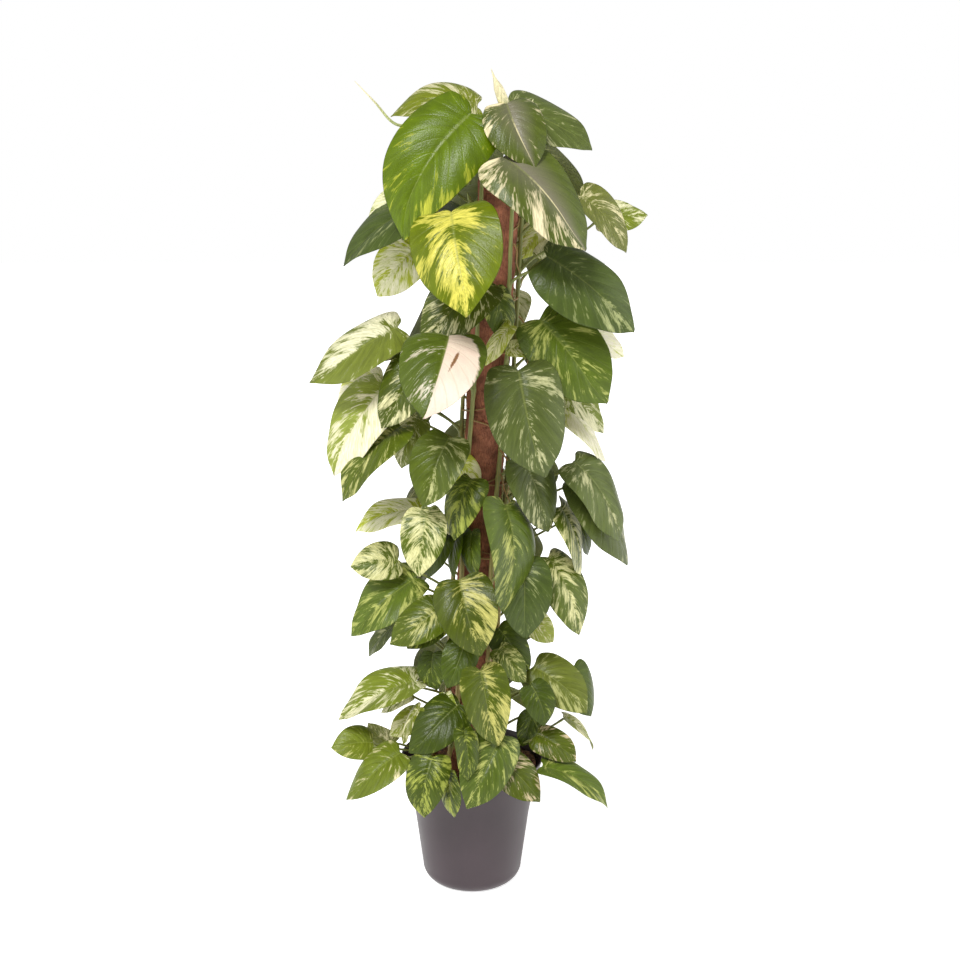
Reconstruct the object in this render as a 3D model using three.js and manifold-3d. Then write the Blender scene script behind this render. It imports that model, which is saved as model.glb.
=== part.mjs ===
// A climbing pothos on a coir-covered pole in a plastic pot.
// Millimetres, +Z up. The origin is the middle of the pot's base and the front of the plant is -Y.
import * as THREE from "three";
import { mergeVertices } from "three/addons/utils/BufferGeometryUtils.js";
import Module from "manifold-3d";

const wasm = await Module();
wasm.setup();

const GAP = 0.3; // left between pieces that touch
const HOLE_SPARE = GAP + 0.1; // the same round a stem that stands in the soil
const SAME_POINT = 1e-4; // points nearer than this are one

// Pot: a thin shell that tapers to its foot and flares at the rim.
const POT_HEIGHT = 230;
const POT_WALL = 2.5;
const POT_FLOOR = 3;
const WALL_AT_BASE = 84.4; // the wall's radius, carried down to the base plane
const WALL_TAPER = 0.129; // radius gained per millimetre of height
const FLARE_START = 120; // height where the wall starts to open towards the rim
const FLARE = 10.8; // extra radius at the rim
const FLARE_POWER = 1.6;
const FOOT_ROUND = 24; // radius of the rounded bottom edge
const FOOT_BENDS = 4; // facets of that edge, outside
const INNER_BENDS = 2; // the same inside and on the soil
const POT_SIDES = 32;
const WALL_LEVELS = [70, 120, 160, 198, 230]; // heights of the wall's facets, the soil's top included

// Soil
const SOIL_TOP = WALL_LEVELS[3];

// Pole: a wooden stake in a coir sleeve. It leans to the plant's right.
const POLE_FOOT = [-20.5, 0]; // where its axis meets the pot's floor
const POLE_LEAN = THREE.MathUtils.degToRad(3.05);
const STAKE_RADIUS = 14;
const STAKE_LENGTH = 1245;
const COIR_RADIUS = 35;
const COIR_START = 12; // along the stake
const COIR_END = 1235;
const COIR_ROUND = 6; // rounding of the sleeve's ends
const POLE_SIDES = 24;

// Stems
const STEM_RADIUS = 5;
const STEM_TIP_RADIUS = 3.2;
const STEM_SIDES = 5;
const STEM_STEP = 95; // length of a straight run
const STEM_ORBIT = COIR_RADIUS + STEM_RADIUS + 1; // from the pole's axis to a climbing stem's
const ROOT_SPREAD = 64; // the same at the soil, before the stem reaches the pole
const ROOT_RISE = 110; // height over which it closes in on the pole
const ROOT_DEPTH = 70; // of a stem's foot in the soil
const TUBE_SIDE = new THREE.Vector3(0.31, 0.95, 0.05); // a side of each tube, across its first run
const STEM_SWAY = 5; // degrees to and fro round the pole
const SWAY_LENGTH = 95; // height per radian of that

// Leaf stalks
const STALK_RADIUS = 2.4;
const STALK_TIP_RADIUS = 1.7;
const STALK_DROP = 15; // least fall from the blade's joint to where its stalk leaves the stem
const STALK_SLOPE = 0.55; // more of it, per millimetre of reach
const STALK_OUT = 0.6; // outward part of its direction at both ends
const STALK_UP = 0.8; // upward part where it leaves the stem
const STALK_RISE = 0.5; // upward part where it arrives, and as much towards the blade's upper face
const STALK_PULL = 0.33; // how far those directions hold, as a share of its span
const STALK_LAP = 0.05; // how far it runs on under the blade, as a share of the blade's length
const STALK_SIDES = 3;
const STALK_STEPS = 3;

// Leaf blades
const BLADE = 1; // thickness
const ARCH = 0.07; // how high the midrib bows over its chord, as a share of the blade's length
const FOLD = 0.16; // rise of the margins over the midrib, as a share of half the width
const SIDE_BEND = 0.05; // sideways bow of the midrib, as a share of the length
const FACE_RISE = 0.47; // how far the upper faces look up, per unit outwards
// Half of a blade's outline: across as a share of half the width, along as a share of joint to tip.
const OUTLINE = [
  [0.45, -0.13],
  [0.93, 0.02],
  [1.0, 0.33],
  [0.7, 0.65],
  [0.18, 0.91],
];
const MIDRIB = [0, 0.3, 0.65, 1]; // points of the midrib, joint to tip

// Each leaf: joint of stalk and blade x, y, z; tip x, y, z; width; compass direction that its
// upper face looks to, in degrees (-90 is the front, 0 the right).
const FRONT_LEFT = [
  [0, -55, 1335, -115, -95, 1147, 155, -100],
  [-30, -130, 1192, 0, -222, 1046, 140, -110],
  [20, -65, 1075, -75, -110, 975, 105, -95],
  [-35, -128, 1000, -70, -232, 890, 140, -100],
  [-75, -60, 955, -140, -95, 840, 92, -100],
  [-35, -100, 830, -70, -135, 720, 90, -100],
  [-35, -46, 790, 15, -52, 720, 55, -55],
  [0, -76, 755, -30, -98, 655, 75, -125],
  [-75, -85, 700, -90, -120, 600, 75, -105],
  [-70, -55, 700, -50, -60, 630, 50, -145],
  [-40, -60, 655, -70, -70, 580, 60, -135],
  [-25, -50, 655, -30, -55, 575, 55, -145],
  [0, -62, 660, 5, -74, 580, 48, -125],
  [-20, -100, 590, 15, -145, 470, 100, -75],
  [-50, -75, 530, -135, -95, 470, 75, -120],
  [-50, -55, 510, -105, -90, 460, 62, -105],
  [-10, -80, 475, -40, -110, 400, 62, -105],
  [-20, -100, 370, -100, -148, 296, 85, -110],
  [-88, -98, 362, -114, -102, 292, 38, -160],
  [-44, -84, 380, -20, -90, 324, 40, -140],
  [-65, -150, 295, -85, -170, 195, 75, -105],
  [-40, -140, 265, -30, -150, 185, 55, -130],
  [-12, -170, 352, -8, -192, 272, 50, -60],
];
const FRONT_RIGHT = [
  [55, -60, 1350, 100, -110, 1255, 100, -85],
  [50, -106, 1273, 170, -146, 1128, 135, -55],
  [120, -60, 1115, 260, -75, 995, 130, -50],
  [35, -52, 1060, 52, -58, 975, 60, -65],
  [62, -78, 1008, 25, -88, 942, 50, -135],
  [75, -100, 940, 115, -135, 770, 130, -80],
  [60, -60, 968, 110, -60, 958, 35, -50],
  [85, -45, 780, 125, -60, 655, 95, -55],
  [55, -90, 715, 45, -130, 540, 130, -35],
  [85, -66, 610, 85, -90, 480, 90, -80],
  [50, -130, 327, -5, -190, 218, 95, -75],
  [35, -118, 283, 115, -152, 213, 82, -65],
  [14, -118, 375, 28, -128, 310, 40, -75],
  [15, -118, 437, 40, -160, 317, 90, -65],
  [45, -35, 480, 95, -50, 405, 62, -75],
  [45, -68, 456, 90, -80, 396, 52, -50],
  [100, -85, 397, 125, -95, 327, 55, -75],
  [120, -100, 255, 235, -115, 190, 90, -15],
];
const LEFT = [
  [-35, -28, 1200, -205, -48, 1095, 140, -155],
  [-72, 14, 1206, -172, 26, 1168, 66, -85],
  [-85, 14, 1120, -155, 10, 1040, 85, -95],
  [-120, -20, 995, -260, -45, 900, 120, -130],
  [-95, 20, 955, -165, 30, 925, 50, -160],
  [-145, 20, 900, -225, 30, 835, 75, -120],
  [-140, -20, 900, -230, -35, 750, 125, -135],
  [-115, -60, 840, -210, -80, 715, 110, -140],
  [-90, -20, 845, -120, -30, 760, 60, -130],
  [-80, 10, 675, -200, 15, 640, 85, -175],
  [-125, -10, 595, -205, -20, 580, 70, -115],
  [-95, -5, 560, -205, -30, 460, 105, -140],
  [-120, 15, 475, -180, 20, 405, 65, -170],
  [-65, -60, 445, -60, -70, 380, 50, -115],
  [-95, -48, 390, -225, -80, 325, 110, -155],
  [-105, -10, 350, -160, -5, 310, 45, -155],
  [-140, -30, 265, -180, -45, 310, 45, -110],
  [-90, -45, 330, -140, -60, 290, 45, -110],
  [-170, -60, 280, -240, -80, 275, 65, -130],
  [-120, -110, 285, -210, -135, 205, 85, -140],
];
const RIGHT = [
  [60, 10, 1345, 195, 0, 1278, 100, -45],
  [175, 0, 1205, 250, 10, 1110, 85, -40],
  [205, 42, 1165, 290, 50, 1165, 60, -25],
  [112, 30, 1096, 178, 50, 1128, 50, 10],
  [110, -35, 1010, 215, -60, 870, 125, -75],
  [170, 30, 990, 255, 40, 930, 70, -40],
  [150, 0, 885, 220, 10, 805, 75, -35],
  [150, 32, 855, 228, 48, 745, 92, -30],
  [170, -25, 770, 245, -35, 630, 110, -40],
  [175, 15, 735, 265, 25, 570, 130, -25],
  [150, -15, 690, 185, 0, 560, 95, -25],
  [170, 35, 660, 200, 45, 580, 60, -40],
  [130, -14, 600, 182, -36, 465, 98, -35],
  [90, 15, 490, 145, 25, 435, 55, -75],
  [105, -35, 410, 200, -55, 335, 85, -60],
  [175, 0, 395, 205, 0, 300, 70, -55],
  [160, 5, 300, 215, 10, 235, 60, -5],
  [110, -60, 295, 180, -80, 255, 60, -45],
  [105, -30, 325, 90, -32, 258, 45, -75],
];
const BACK_LEFT = [[10, 10, 1342, -130, 30, 1334, 100, -160]];
const BACK_RIGHT = [
  [122, 44, 1156, 80, 52, 1094, 50, -70],
  [180, 75, 668, 240, 88, 588, 70, -55],
];

// Each stem: where it stands round the pole (degrees), how high it climbs and its listed leaves. The
// two at the back also bear leaves by the rule in furtherLeaves: how many, and the lowest one's height.
const VINES = [
  { name: "vine_front_left", azimuth: -128, top: 1315, leaves: FRONT_LEFT },
  { name: "vine_front_right", azimuth: -52, top: 1295, leaves: FRONT_RIGHT },
  { name: "vine_left", azimuth: 172, top: 1180, leaves: LEFT },
  { name: "vine_right", azimuth: 8, top: 1325, leaves: RIGHT },
  { name: "vine_back_left", azimuth: 122, top: 1310, leaves: BACK_LEFT, further: 13, lowest: 345 },
  { name: "vine_back_right", azimuth: 62, top: 1310, leaves: BACK_RIGHT, further: 13, lowest: 336 },
];
// New leaves that are still rolled: the stem that each ends, its way from there and its radii.
const SPEARS = {
  vine_front_left: {
    way: [[-45, -30, 1325], [-118, -40, 1318], [-150, -42, 1352], [-180, -40, 1383]],
    radii: [3, 3, 3.5, 2.5, 0.8],
  },
  vine_front_right: {
    way: [[60, -45, 1325], [50, -52, 1352], [40, -54, 1378], [31, -54, 1402]],
    radii: [3, 5, 8.5, 6, 0.8],
  },
};
const SPEAR_SIDES = 6;
// The further leaves: the height that they are spread over, then the least and the most of each value.
const FURTHER_CLIMB = 1020;
const FURTHER_TURN = [12, 20]; // degrees round the pole from their stem to the joint
const FURTHER_REACH = [78, 92]; // from the pole's axis to the joint
const FURTHER_SLOPE = [50, 64]; // degrees that the blade hangs below the level
const FURTHER_TWIST = [-32, 32]; // degrees that it hangs aside from straight outwards
const FURTHER_LENGTH = [115, 155]; // grows upwards
const FURTHER_SPREAD = 30; // added to some of the lengths
const FURTHER_WIDTH = 0.64; // width as a share of the length
const GOLDEN = 0.61803398875; // steps of this, modulo 1, spread the leaves' differences evenly

const vector = (x, y, z) => new THREE.Vector3(x, y, z);
const radians = THREE.MathUtils.degToRad;
const share = (i) => (i * GOLDEN) % 1;
const between = ([least, most], part) => least + (most - least) * part;

function material(color, roughness) {
  return new THREE.MeshStandardMaterial({ color, roughness, metalness: 0 });
}

function node(name, geometry, look) {
  const mesh = new THREE.Mesh(geometry, look);
  mesh.name = name;
  return mesh;
}

// A closed geometry as a solid that can be joined and cut, and back.
function solid(geometry) {
  const bare = geometry.clone();
  bare.deleteAttribute("normal");
  bare.deleteAttribute("uv");
  const merged = mergeVertices(bare, SAME_POINT);
  return new wasm.Manifold(
    new wasm.Mesh({
      numProp: 3,
      vertProperties: new Float32Array(merged.attributes.position.array),
      triVerts: new Uint32Array(merged.index.array),
    }),
  );
}

function geometryOf(made) {
  const mesh = made.getMesh();
  return new THREE.BufferGeometry()
    .setAttribute("position", new THREE.BufferAttribute(mesh.vertProperties, 3))
    .setIndex(new THREE.BufferAttribute(mesh.triVerts, 1));
}

function indexed(points, triangles) {
  return new THREE.BufferGeometry()
    .setAttribute("position", new THREE.Float32BufferAttribute(points.flatMap((p) => p.toArray()), 3))
    .setIndex(triangles.flat());
}

// A solid of revolution round Z from a profile of [radius, height] points.
function turned(profile, sides) {
  const lathe = new THREE.LatheGeometry(
    profile.map(([r, z]) => new THREE.Vector2(r, z)),
    sides,
  );
  return lathe.rotateX(Math.PI / 2);
}

// ---- Pot and soil

function wallRadius(z) {
  const open = Math.max(0, (z - FLARE_START) / (POT_HEIGHT - FLARE_START));
  return WALL_AT_BASE + WALL_TAPER * z + FLARE * open ** FLARE_POWER;
}

// The wall's profile from the base to a height, moved inwards by an inset and up to a floor.
function wallProfile(inset, floor, top, bends) {
  const round = FOOT_ROUND - inset;
  const centre = wallRadius(FOOT_ROUND) - FOOT_ROUND;
  const points = [[0, floor]];
  for (let i = 0; i <= bends; i++) {
    const turn = (i / bends) * (Math.PI / 2);
    points.push([centre + round * Math.sin(turn), floor + round * (1 - Math.cos(turn))]);
  }
  const levels = WALL_LEVELS.filter((z) => z <= top);
  return [...points, ...levels.map((z) => [wallRadius(z) - inset, z])];
}

function pot() {
  const outside = wallProfile(0, 0, POT_HEIGHT, FOOT_BENDS);
  const inside = wallProfile(POT_WALL, POT_FLOOR, POT_HEIGHT, INNER_BENDS);
  return turned([...outside, ...inside.reverse()], POT_SIDES);
}

function soil(sunk) {
  const fill = wallProfile(POT_WALL + GAP, POT_FLOOR + GAP, SOIL_TOP, INNER_BENDS);
  const body = solid(turned([...fill, [0, SOIL_TOP]], POT_SIDES));
  return geometryOf(sunk.reduce((rest, hole) => rest.subtract(hole), body));
}

// ---- Pole

function poleX(z) {
  return POLE_FOOT[0] + (z - POT_FLOOR) * Math.tan(POLE_LEAN);
}

function stake() {
  return turned([[0, 0], [STAKE_RADIUS, 0], [STAKE_RADIUS, STAKE_LENGTH], [0, STAKE_LENGTH]], POLE_SIDES);
}

function coirSleeve() {
  const bore = STAKE_RADIUS + GAP;
  const edge = COIR_RADIUS - COIR_ROUND;
  const bevel = COIR_ROUND * Math.SQRT1_2;
  const profile = [
    [bore, COIR_START],
    [COIR_RADIUS, COIR_START],
    [COIR_RADIUS, COIR_END - COIR_ROUND],
    [edge + bevel, COIR_END - COIR_ROUND + bevel],
    [edge, COIR_END],
    [bore, COIR_END],
    [bore, COIR_START],
  ];
  return turned(profile, POLE_SIDES);
}

// What the pole takes out of the soil: a cylinder that runs past it at both ends.
function poleHole() {
  const radius = COIR_RADIUS + GAP;
  const top = SOIL_TOP + POT_HEIGHT;
  return turned([[0, -POT_HEIGHT], [radius, -POT_HEIGHT], [radius, top], [0, top]], POLE_SIDES);
}

function placedOnPole(object) {
  object.position.set(POLE_FOOT[0], POLE_FOOT[1], POT_FLOOR + GAP + STAKE_RADIUS * Math.sin(POLE_LEAN));
  object.rotation.y = POLE_LEAN;
  object.updateMatrix();
  return object;
}

// ---- Stems, stalks and leaves

// A closed tube with a few flat sides through a list of points, with a radius for each.
function tube(points, radii, sides) {
  const last = points.length - 1;
  const rings = [];
  let across = TUBE_SIDE;
  points.forEach((point, i) => {
    const along = vector(0, 0, 0).subVectors(points[Math.min(i + 1, last)], points[Math.max(i - 1, 0)]);
    along.normalize();
    across = across.clone().addScaledVector(along, -across.dot(along)).normalize();
    const third = along.clone().cross(across);
    for (let k = 0; k < sides; k++) {
      const turn = (2 * Math.PI * k) / sides;
      const spoke = across.clone().multiplyScalar(Math.cos(turn)).addScaledVector(third, Math.sin(turn));
      rings.push(point.clone().addScaledVector(spoke, radii[i]));
    }
  });
  const triangles = [];
  const end = last * sides;
  for (let k = 0; k < sides; k++) {
    const next = (k + 1) % sides;
    for (let i = 0; i < end; i += sides) {
      triangles.push([i + k, i + next, i + sides + next], [i + k, i + sides + next, i + sides + k]);
    }
    if (k > 0 && k < sides - 1) {
      triangles.push([0, k + 1, k], [end, end + k, end + k + 1]);
    }
  }
  return indexed(rings, triangles);
}

// The stem's centre at a height: a slow sway round the pole, wider apart at the soil.
function stemPoint(plan, z) {
  const climbed = THREE.MathUtils.smoothstep(z, SOIL_TOP, SOIL_TOP + ROOT_RISE);
  const orbit = ROOT_SPREAD + (STEM_ORBIT - ROOT_SPREAD) * climbed;
  const turn = radians(plan.azimuth + STEM_SWAY * Math.sin(z / SWAY_LENGTH + plan.azimuth));
  return vector(poleX(z) + orbit * Math.cos(turn), orbit * Math.sin(turn), z);
}

function stem(plan, spare = 0) {
  const bottom = SOIL_TOP - ROOT_DEPTH - spare;
  const climb = plan.top - bottom;
  const steps = Math.round(climb / STEM_STEP);
  const heights = Array.from({ length: steps + 1 }, (_, i) => bottom + (climb * i) / steps);
  const radii = heights.map((z) => spare + between([STEM_RADIUS, STEM_TIP_RADIUS], (z - bottom) / climb));
  return tube(heights.map((z) => stemPoint(plan, z)), radii, STEM_SIDES);
}

// Axis from joint to tip, upper face's normal and the direction to the blade's right.
function leafFrame(leaf) {
  const joint = vector(leaf[0], leaf[1], leaf[2]);
  const along = vector(leaf[3], leaf[4], leaf[5]).sub(joint);
  const length = along.length();
  along.normalize();
  const looks = radians(leaf[7]);
  const up = vector(Math.cos(looks), Math.sin(looks), FACE_RISE);
  up.addScaledVector(along, -up.dot(along)).normalize();
  return { joint, along, length, up, right: along.clone().cross(up), half: leaf[6] / 2 };
}

// A point of the blade's middle surface: x and y in millimetres across and along the blade.
function bladePoint(frame, x, y, bend) {
  const { joint, along, length, up, right, half } = frame;
  const s = y / length;
  const bow = 4 * s * (1 - s);
  const rise = ARCH * length * bow + (FOLD * Math.abs(x) * half) / (half + Math.abs(x));
  const aside = x + SIDE_BEND * bend * length * Math.max(0, bow);
  return joint.clone().addScaledVector(along, y).addScaledVector(right, aside).addScaledVector(up, rise);
}

// A closed blade, split alike on both faces. Its points are the joint 0, the ribs 1 and 2, the tip 3
// and then the five outline points of each side.
function blade(leaf, bend) {
  const frame = leafFrame(leaf);
  const ribs = MIDRIB.map((s) => [0, s * frame.length]);
  const rightEdge = OUTLINE.map(([x, s]) => [x * frame.half, s * frame.length]);
  const leftEdge = rightEdge.map(([x, y]) => [-x, y]);
  const middle = [...ribs, ...rightEdge, ...leftEdge].map(([x, y]) => bladePoint(frame, x, y, bend));
  const above = middle.map((p) => p.clone().addScaledVector(frame.up, BLADE / 2));
  const below = middle.map((p) => p.clone().addScaledVector(frame.up, -BLADE / 2));
  const count = middle.length;
  const triangles = [];
  for (const [edge, order] of [[ribs.length, 1], [ribs.length + OUTLINE.length, -1]]) {
    const [a, b, c, d, e] = OUTLINE.map((_, k) => edge + k);
    const faces = [[0, a, b], [0, b, 1], [1, b, c], [1, c, 2], [2, c, d], [2, d, e], [2, e, 3]];
    for (const face of faces) {
      const upper = order > 0 ? face : face.toReversed();
      triangles.push(upper, upper.toReversed().map((k) => k + count));
    }
    const border = order > 0 ? [0, a, b, c, d, e, 3] : [3, e, d, c, b, a, 0];
    for (let k = 1; k < border.length; k++) {
      const [p, q] = [border[k - 1], border[k]];
      triangles.push([p, q + count, q], [p, p + count, q + count]);
    }
  }
  return indexed([...above, ...below], triangles);
}

// The stalk leaves the stem below the joint, climbs outwards and ends under the blade.
function stalk(plan, leaf, bend) {
  const frame = leafFrame(leaf);
  const { joint, up, length } = frame;
  const near = stemPoint(plan, joint.z);
  const drop = STALK_DROP + STALK_SLOPE * Math.hypot(joint.x - near.x, joint.y - near.y);
  const lowest = SOIL_TOP + STALK_DROP;
  const start = stemPoint(plan, THREE.MathUtils.clamp(joint.z - drop, lowest, plan.top - STEM_TIP_RADIUS));
  const end = bladePoint(frame, 0, STALK_LAP * length, bend).addScaledVector(up, -STALK_TIP_RADIUS / 2);
  const away = vector(joint.x - start.x, joint.y - start.y, 0).normalize();
  const leaving = away.clone().multiplyScalar(STALK_OUT).add(vector(0, 0, STALK_UP));
  const arriving = away.clone().multiplyScalar(STALK_OUT).add(vector(0, 0, STALK_RISE));
  arriving.addScaledVector(up, STALK_RISE).normalize();
  const span = end.distanceTo(start);
  const curve = new THREE.CubicBezierCurve3(
    start,
    start.clone().addScaledVector(leaving, STALK_PULL * span),
    end.clone().addScaledVector(arriving, -STALK_PULL * span),
    end,
  );
  const points = curve.getPoints(STALK_STEPS);
  const radii = points.map((_, i) => between([STALK_RADIUS, STALK_TIP_RADIUS], i / STALK_STEPS));
  return tube(points, radii, STALK_SIDES);
}

// A step outwards from the pole's axis, in a direction round it.
function outwards(azimuth, distance) {
  return [distance * Math.cos(radians(azimuth)), distance * Math.sin(radians(azimuth))];
}

// Leaves of the sides and back, which hang outwards in turn on either side of their stem.
function furtherLeaves(plan) {
  return Array.from({ length: plan.further ?? 0 }, (_, i) => {
    const z = plan.lowest + (FURTHER_CLIMB * i) / plan.further;
    const azimuth = plan.azimuth + (i % 2 ? 1 : -1) * between(FURTHER_TURN, share(i + 1));
    const twist = between(FURTHER_TWIST, share(3 * i + 15));
    const length = between(FURTHER_LENGTH, i / plan.further) + FURTHER_SPREAD * share(i + 5);
    const slope = radians(between(FURTHER_SLOPE, share(i + 13)));
    const [x, y] = outwards(azimuth, between(FURTHER_REACH, share(i + 9)));
    const [hangX, hangY] = outwards(azimuth + twist, length * Math.cos(slope));
    const joint = [poleX(z) + x, y, z];
    const tip = [joint[0] + hangX, y + hangY, z - length * Math.sin(slope)];
    return [...joint, ...tip, FURTHER_WIDTH * length, azimuth + twist / 2];
  });
}

function spears(plan) {
  const spear = SPEARS[plan.name];
  if (!spear) {
    return [];
  }
  const way = [stemPoint(plan, plan.top - STEM_RADIUS), ...spear.way.map((p) => vector(...p))];
  return [solid(tube(way, spear.radii, SPEAR_SIDES))];
}

function vine(plan) {
  const leaves = [...plan.leaves, ...furtherLeaves(plan)];
  const pieces = leaves.flatMap((leaf, i) => {
    const bend = 1 - 2 * share(i);
    return [solid(blade(leaf, bend)), solid(stalk(plan, leaf, bend))];
  });
  return geometryOf(wasm.Manifold.union([solid(stem(plan)), ...spears(plan), ...pieces]));
}

// ---- The plant

const PLASTIC = material("#6b5d62", 0.45);
const EARTH = material("#2b1c14", 0.95);
const WOOD = material("#b08a5a", 0.8);
const COIR = material("#7a4232", 0.95);
const LEAF = material("#4f6b2a", 0.4);

const plant = new THREE.Group();
const holes = [
  solid(poleHole().applyMatrix4(placedOnPole(new THREE.Group()).matrix)),
  ...VINES.map((plan) => solid(stem(plan, HOLE_SPARE))),
];
plant.add(node("pot", pot(), PLASTIC));
plant.add(node("soil", soil(holes), EARTH));
const pole = placedOnPole(new THREE.Group());
pole.add(node("pole_stake", stake(), WOOD), node("coir_sleeve", coirSleeve(), COIR));
plant.add(pole);
for (const plan of VINES) {
  plant.add(node(plan.name, vine(plan), LEAF));
}

export default plant;
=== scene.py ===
"""A climbing pothos on a coir-covered pole in a plastic pot: its fine surfaces and finishes.

The solid model is the frame. Its pot, soil, coir and vines are replaced by finer pieces of the same
form, and the stake keeps its solid. Sizes are in millimetres up to the meshes, which are in metres.
"""

from functools import lru_cache
from types import SimpleNamespace

import bpy
import numpy as np
from mathutils import Matrix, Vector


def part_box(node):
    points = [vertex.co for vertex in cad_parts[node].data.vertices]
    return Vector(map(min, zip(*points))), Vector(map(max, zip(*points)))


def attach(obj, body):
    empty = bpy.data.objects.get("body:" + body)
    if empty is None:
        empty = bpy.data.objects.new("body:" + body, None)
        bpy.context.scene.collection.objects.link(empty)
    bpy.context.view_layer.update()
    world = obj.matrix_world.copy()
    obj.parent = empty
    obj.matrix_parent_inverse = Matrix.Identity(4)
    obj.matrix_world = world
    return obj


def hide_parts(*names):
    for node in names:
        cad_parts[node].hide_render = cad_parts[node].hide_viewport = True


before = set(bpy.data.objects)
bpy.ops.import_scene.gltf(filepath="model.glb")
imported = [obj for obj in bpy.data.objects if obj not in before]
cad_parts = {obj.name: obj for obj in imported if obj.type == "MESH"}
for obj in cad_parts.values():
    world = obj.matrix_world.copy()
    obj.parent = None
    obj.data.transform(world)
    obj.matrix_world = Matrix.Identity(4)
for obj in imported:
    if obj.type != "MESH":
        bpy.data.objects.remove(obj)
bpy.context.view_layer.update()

bl_info = {
    "name": "Potted pothos",
    "version": (1, 0, 0),
    "blender": (4, 5, 0),
    "location": "3D View > Sidebar > Pothos",
    "description": "Builds a climbing pothos on a coir pole in its pot, with a plain studio round it",
    "category": "Add Mesh",
}

MM = 0.001


def high(node):
    """Height of the top of one of the frame's solids, in millimetres."""
    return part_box(node)[1].z / MM


# ---- Sizes shared with the solid model, in millimetres

POT_HEIGHT = high("pot")
SOIL_TOP = high("soil")
POT_FLOOR = 3
WALL_AT_BASE = 84.4  # the wall's radius, carried down to the base plane
WALL_TAPER = 0.129  # radius gained per millimetre of height
FLARE_START = 120  # height where the wall starts to open towards the rim
FLARE = 10.8  # extra radius at the rim
FLARE_POWER = 1.6
GAP = 0.3  # between pieces that touch

POLE_FOOT = -20.5  # x where the pole's axis meets the pot's floor
POLE_LEAN = np.radians(3.05)
STAKE_RADIUS = 14
COIR_RADIUS = 35
COIR_START, COIR_END = 12, 1235  # along the stake

STEM_RADIUS, STEM_TIP_RADIUS = 5, 3.2
STEM_ORBIT = COIR_RADIUS + STEM_RADIUS + 1  # from the pole's axis to a climbing stem's
ROOT_SPREAD = 64  # the same at the soil, before the stem reaches the pole
ROOT_RISE = 110
ROOT_DEPTH = 70
STEM_SWAY = 5  # degrees to and fro round the pole
SWAY_LENGTH = 95

STALK_RADIUS, STALK_TIP_RADIUS = 2.5, 1.8
STALK_DROP = 15  # least fall from the blade's joint to where its stalk leaves the stem
STALK_SLOPE = 0.55  # more of it, per millimetre of reach
STALK_OUT, STALK_UP = 0.6, 0.8  # its direction where it leaves the stem
STALK_PULL = 0.33  # how far its end directions hold, as a share of its span
STALK_LAP = 0.05  # how far it runs on under the blade, as a share of the blade's length

ARCH = 0.07  # how high the midrib bows over its chord, as a share of the blade's length
FOLD = 0.16  # rise of the margins over the midrib, as a share of half the width
SIDE_BEND = 0.05  # sideways bow of the midrib, as a share of the length
FACE_RISE = 0.47  # how far the upper faces look up, per unit outwards
# Half of a blade's outline: across as a share of half the width, along as a share of joint to tip.
OUTLINE = np.array([
    [0, 0], [0.1, -0.025], [0.4, -0.06], [0.77, -0.02], [0.97, 0.14], [1.0, 0.33],
    [0.91, 0.55], [0.66, 0.75], [0.33, 0.89], [0.11, 0.96], [0, 1],
])

# ---- Leaves

# Each look of a blade: its green, the colour of its marks, the share of it that is marked, and which
# part has more of them: from -1 for the left half to 1 for the right half as the hanging leaf is
# looked at, and from -1 for the midrib to 1 for the margin.
LOOKS = {
    "dark": ("#4c5a14", "#b4b860", 0.12, 0.0, 0.0),
    "dark_cream": ("#4b5810", "#ece6b0", 0.28, 0.0, 0.0),
    "moss": ("#3e4d08", "#9aa548", 0.14, 0.0, 0.0),
    "moss_streaked": ("#435208", "#aab24e", 0.38, 0.0, 0.0),
    # These two looks have a greyer green: the leaf's own green with a painted grey sheen mixed into it.
    "green_painted_sheen": ("#57632c", "#cccb98", 0.24, 0.0, 0.0),
    "dark_painted_sheen": ("#4a5922", "#adb378", 0.12, 0.0, 0.0),
    "ashen": ("#6c7230", "#ece2b0", 0.34, 0.0, 0.0),
    "plain": ("#495a0c", "#7f8b3c", 0.04, 0.0, 0.0),
    "green": ("#52631a", "#c0c46c", 0.3, 0.0, 0.0),
    "leafy": ("#64711c", "#ece0b0", 0.16, 0.0, 0.2),
    "bright": ("#727f22", "#e4dc94", 0.18, 0.0, 0.2),
    "olive": ("#4f5b0e", "#e6d0a8", 0.2, 0.2, 0.4),
    "olive_striped": ("#707a18", "#ece4bc", 0.4, 0.0, 0.0),
    "lime": ("#627904", "#c4c640", 0.04, 0.2, 0.5),
    "gold": ("#627002", "#e8de62", 0.52, -0.2, -0.5),
    "fresh": ("#98a238", "#f2ecc0", 0.52, 0.0, 0.0),
    "fresh_pale": ("#c0ca46", "#fbf6cc", 0.5, 0.0, 0.0),
    "striped": ("#4f5d0c", "#d2cf86", 0.36, 0.0, 0.0),
    "light_striped": ("#7e8c2a", "#fbf6cc", 0.52, 0.0, 0.0),
    "dull_striped": ("#5a6320", "#b8b976", 0.28, 0.0, 0.0),
    "marbled": ("#58671a", "#e4e0a2", 0.5, 0.0, 0.0),
    "pale": ("#bcc63c", "#fffbdc", 0.54, 0.0, 0.0),
    "cream": ("#d0d670", "#fff9e4", 0.8, 0.0, 0.0),
    "cream_left": ("#76812f", "#fbf6d0", 0.42, -0.4, 0.0),
    "half_cream": ("#56661c", "#f0e3cc", 0.24, 0.0, 0.0),
    "cream_right": ("#8c983c", "#fbf2d2", 0.62, 0.6, 0.0),
    "streaked_right": ("#4b5814", "#c8c98a", 0.26, 0.4, 0.0),
    "yellow_right": ("#4a560a", "#ccc670", 0.32, 0.22, 0.0),
    "cream_edge": ("#505c1d", "#faeabe", 0.12, -0.25, 0.5),
}
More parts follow.
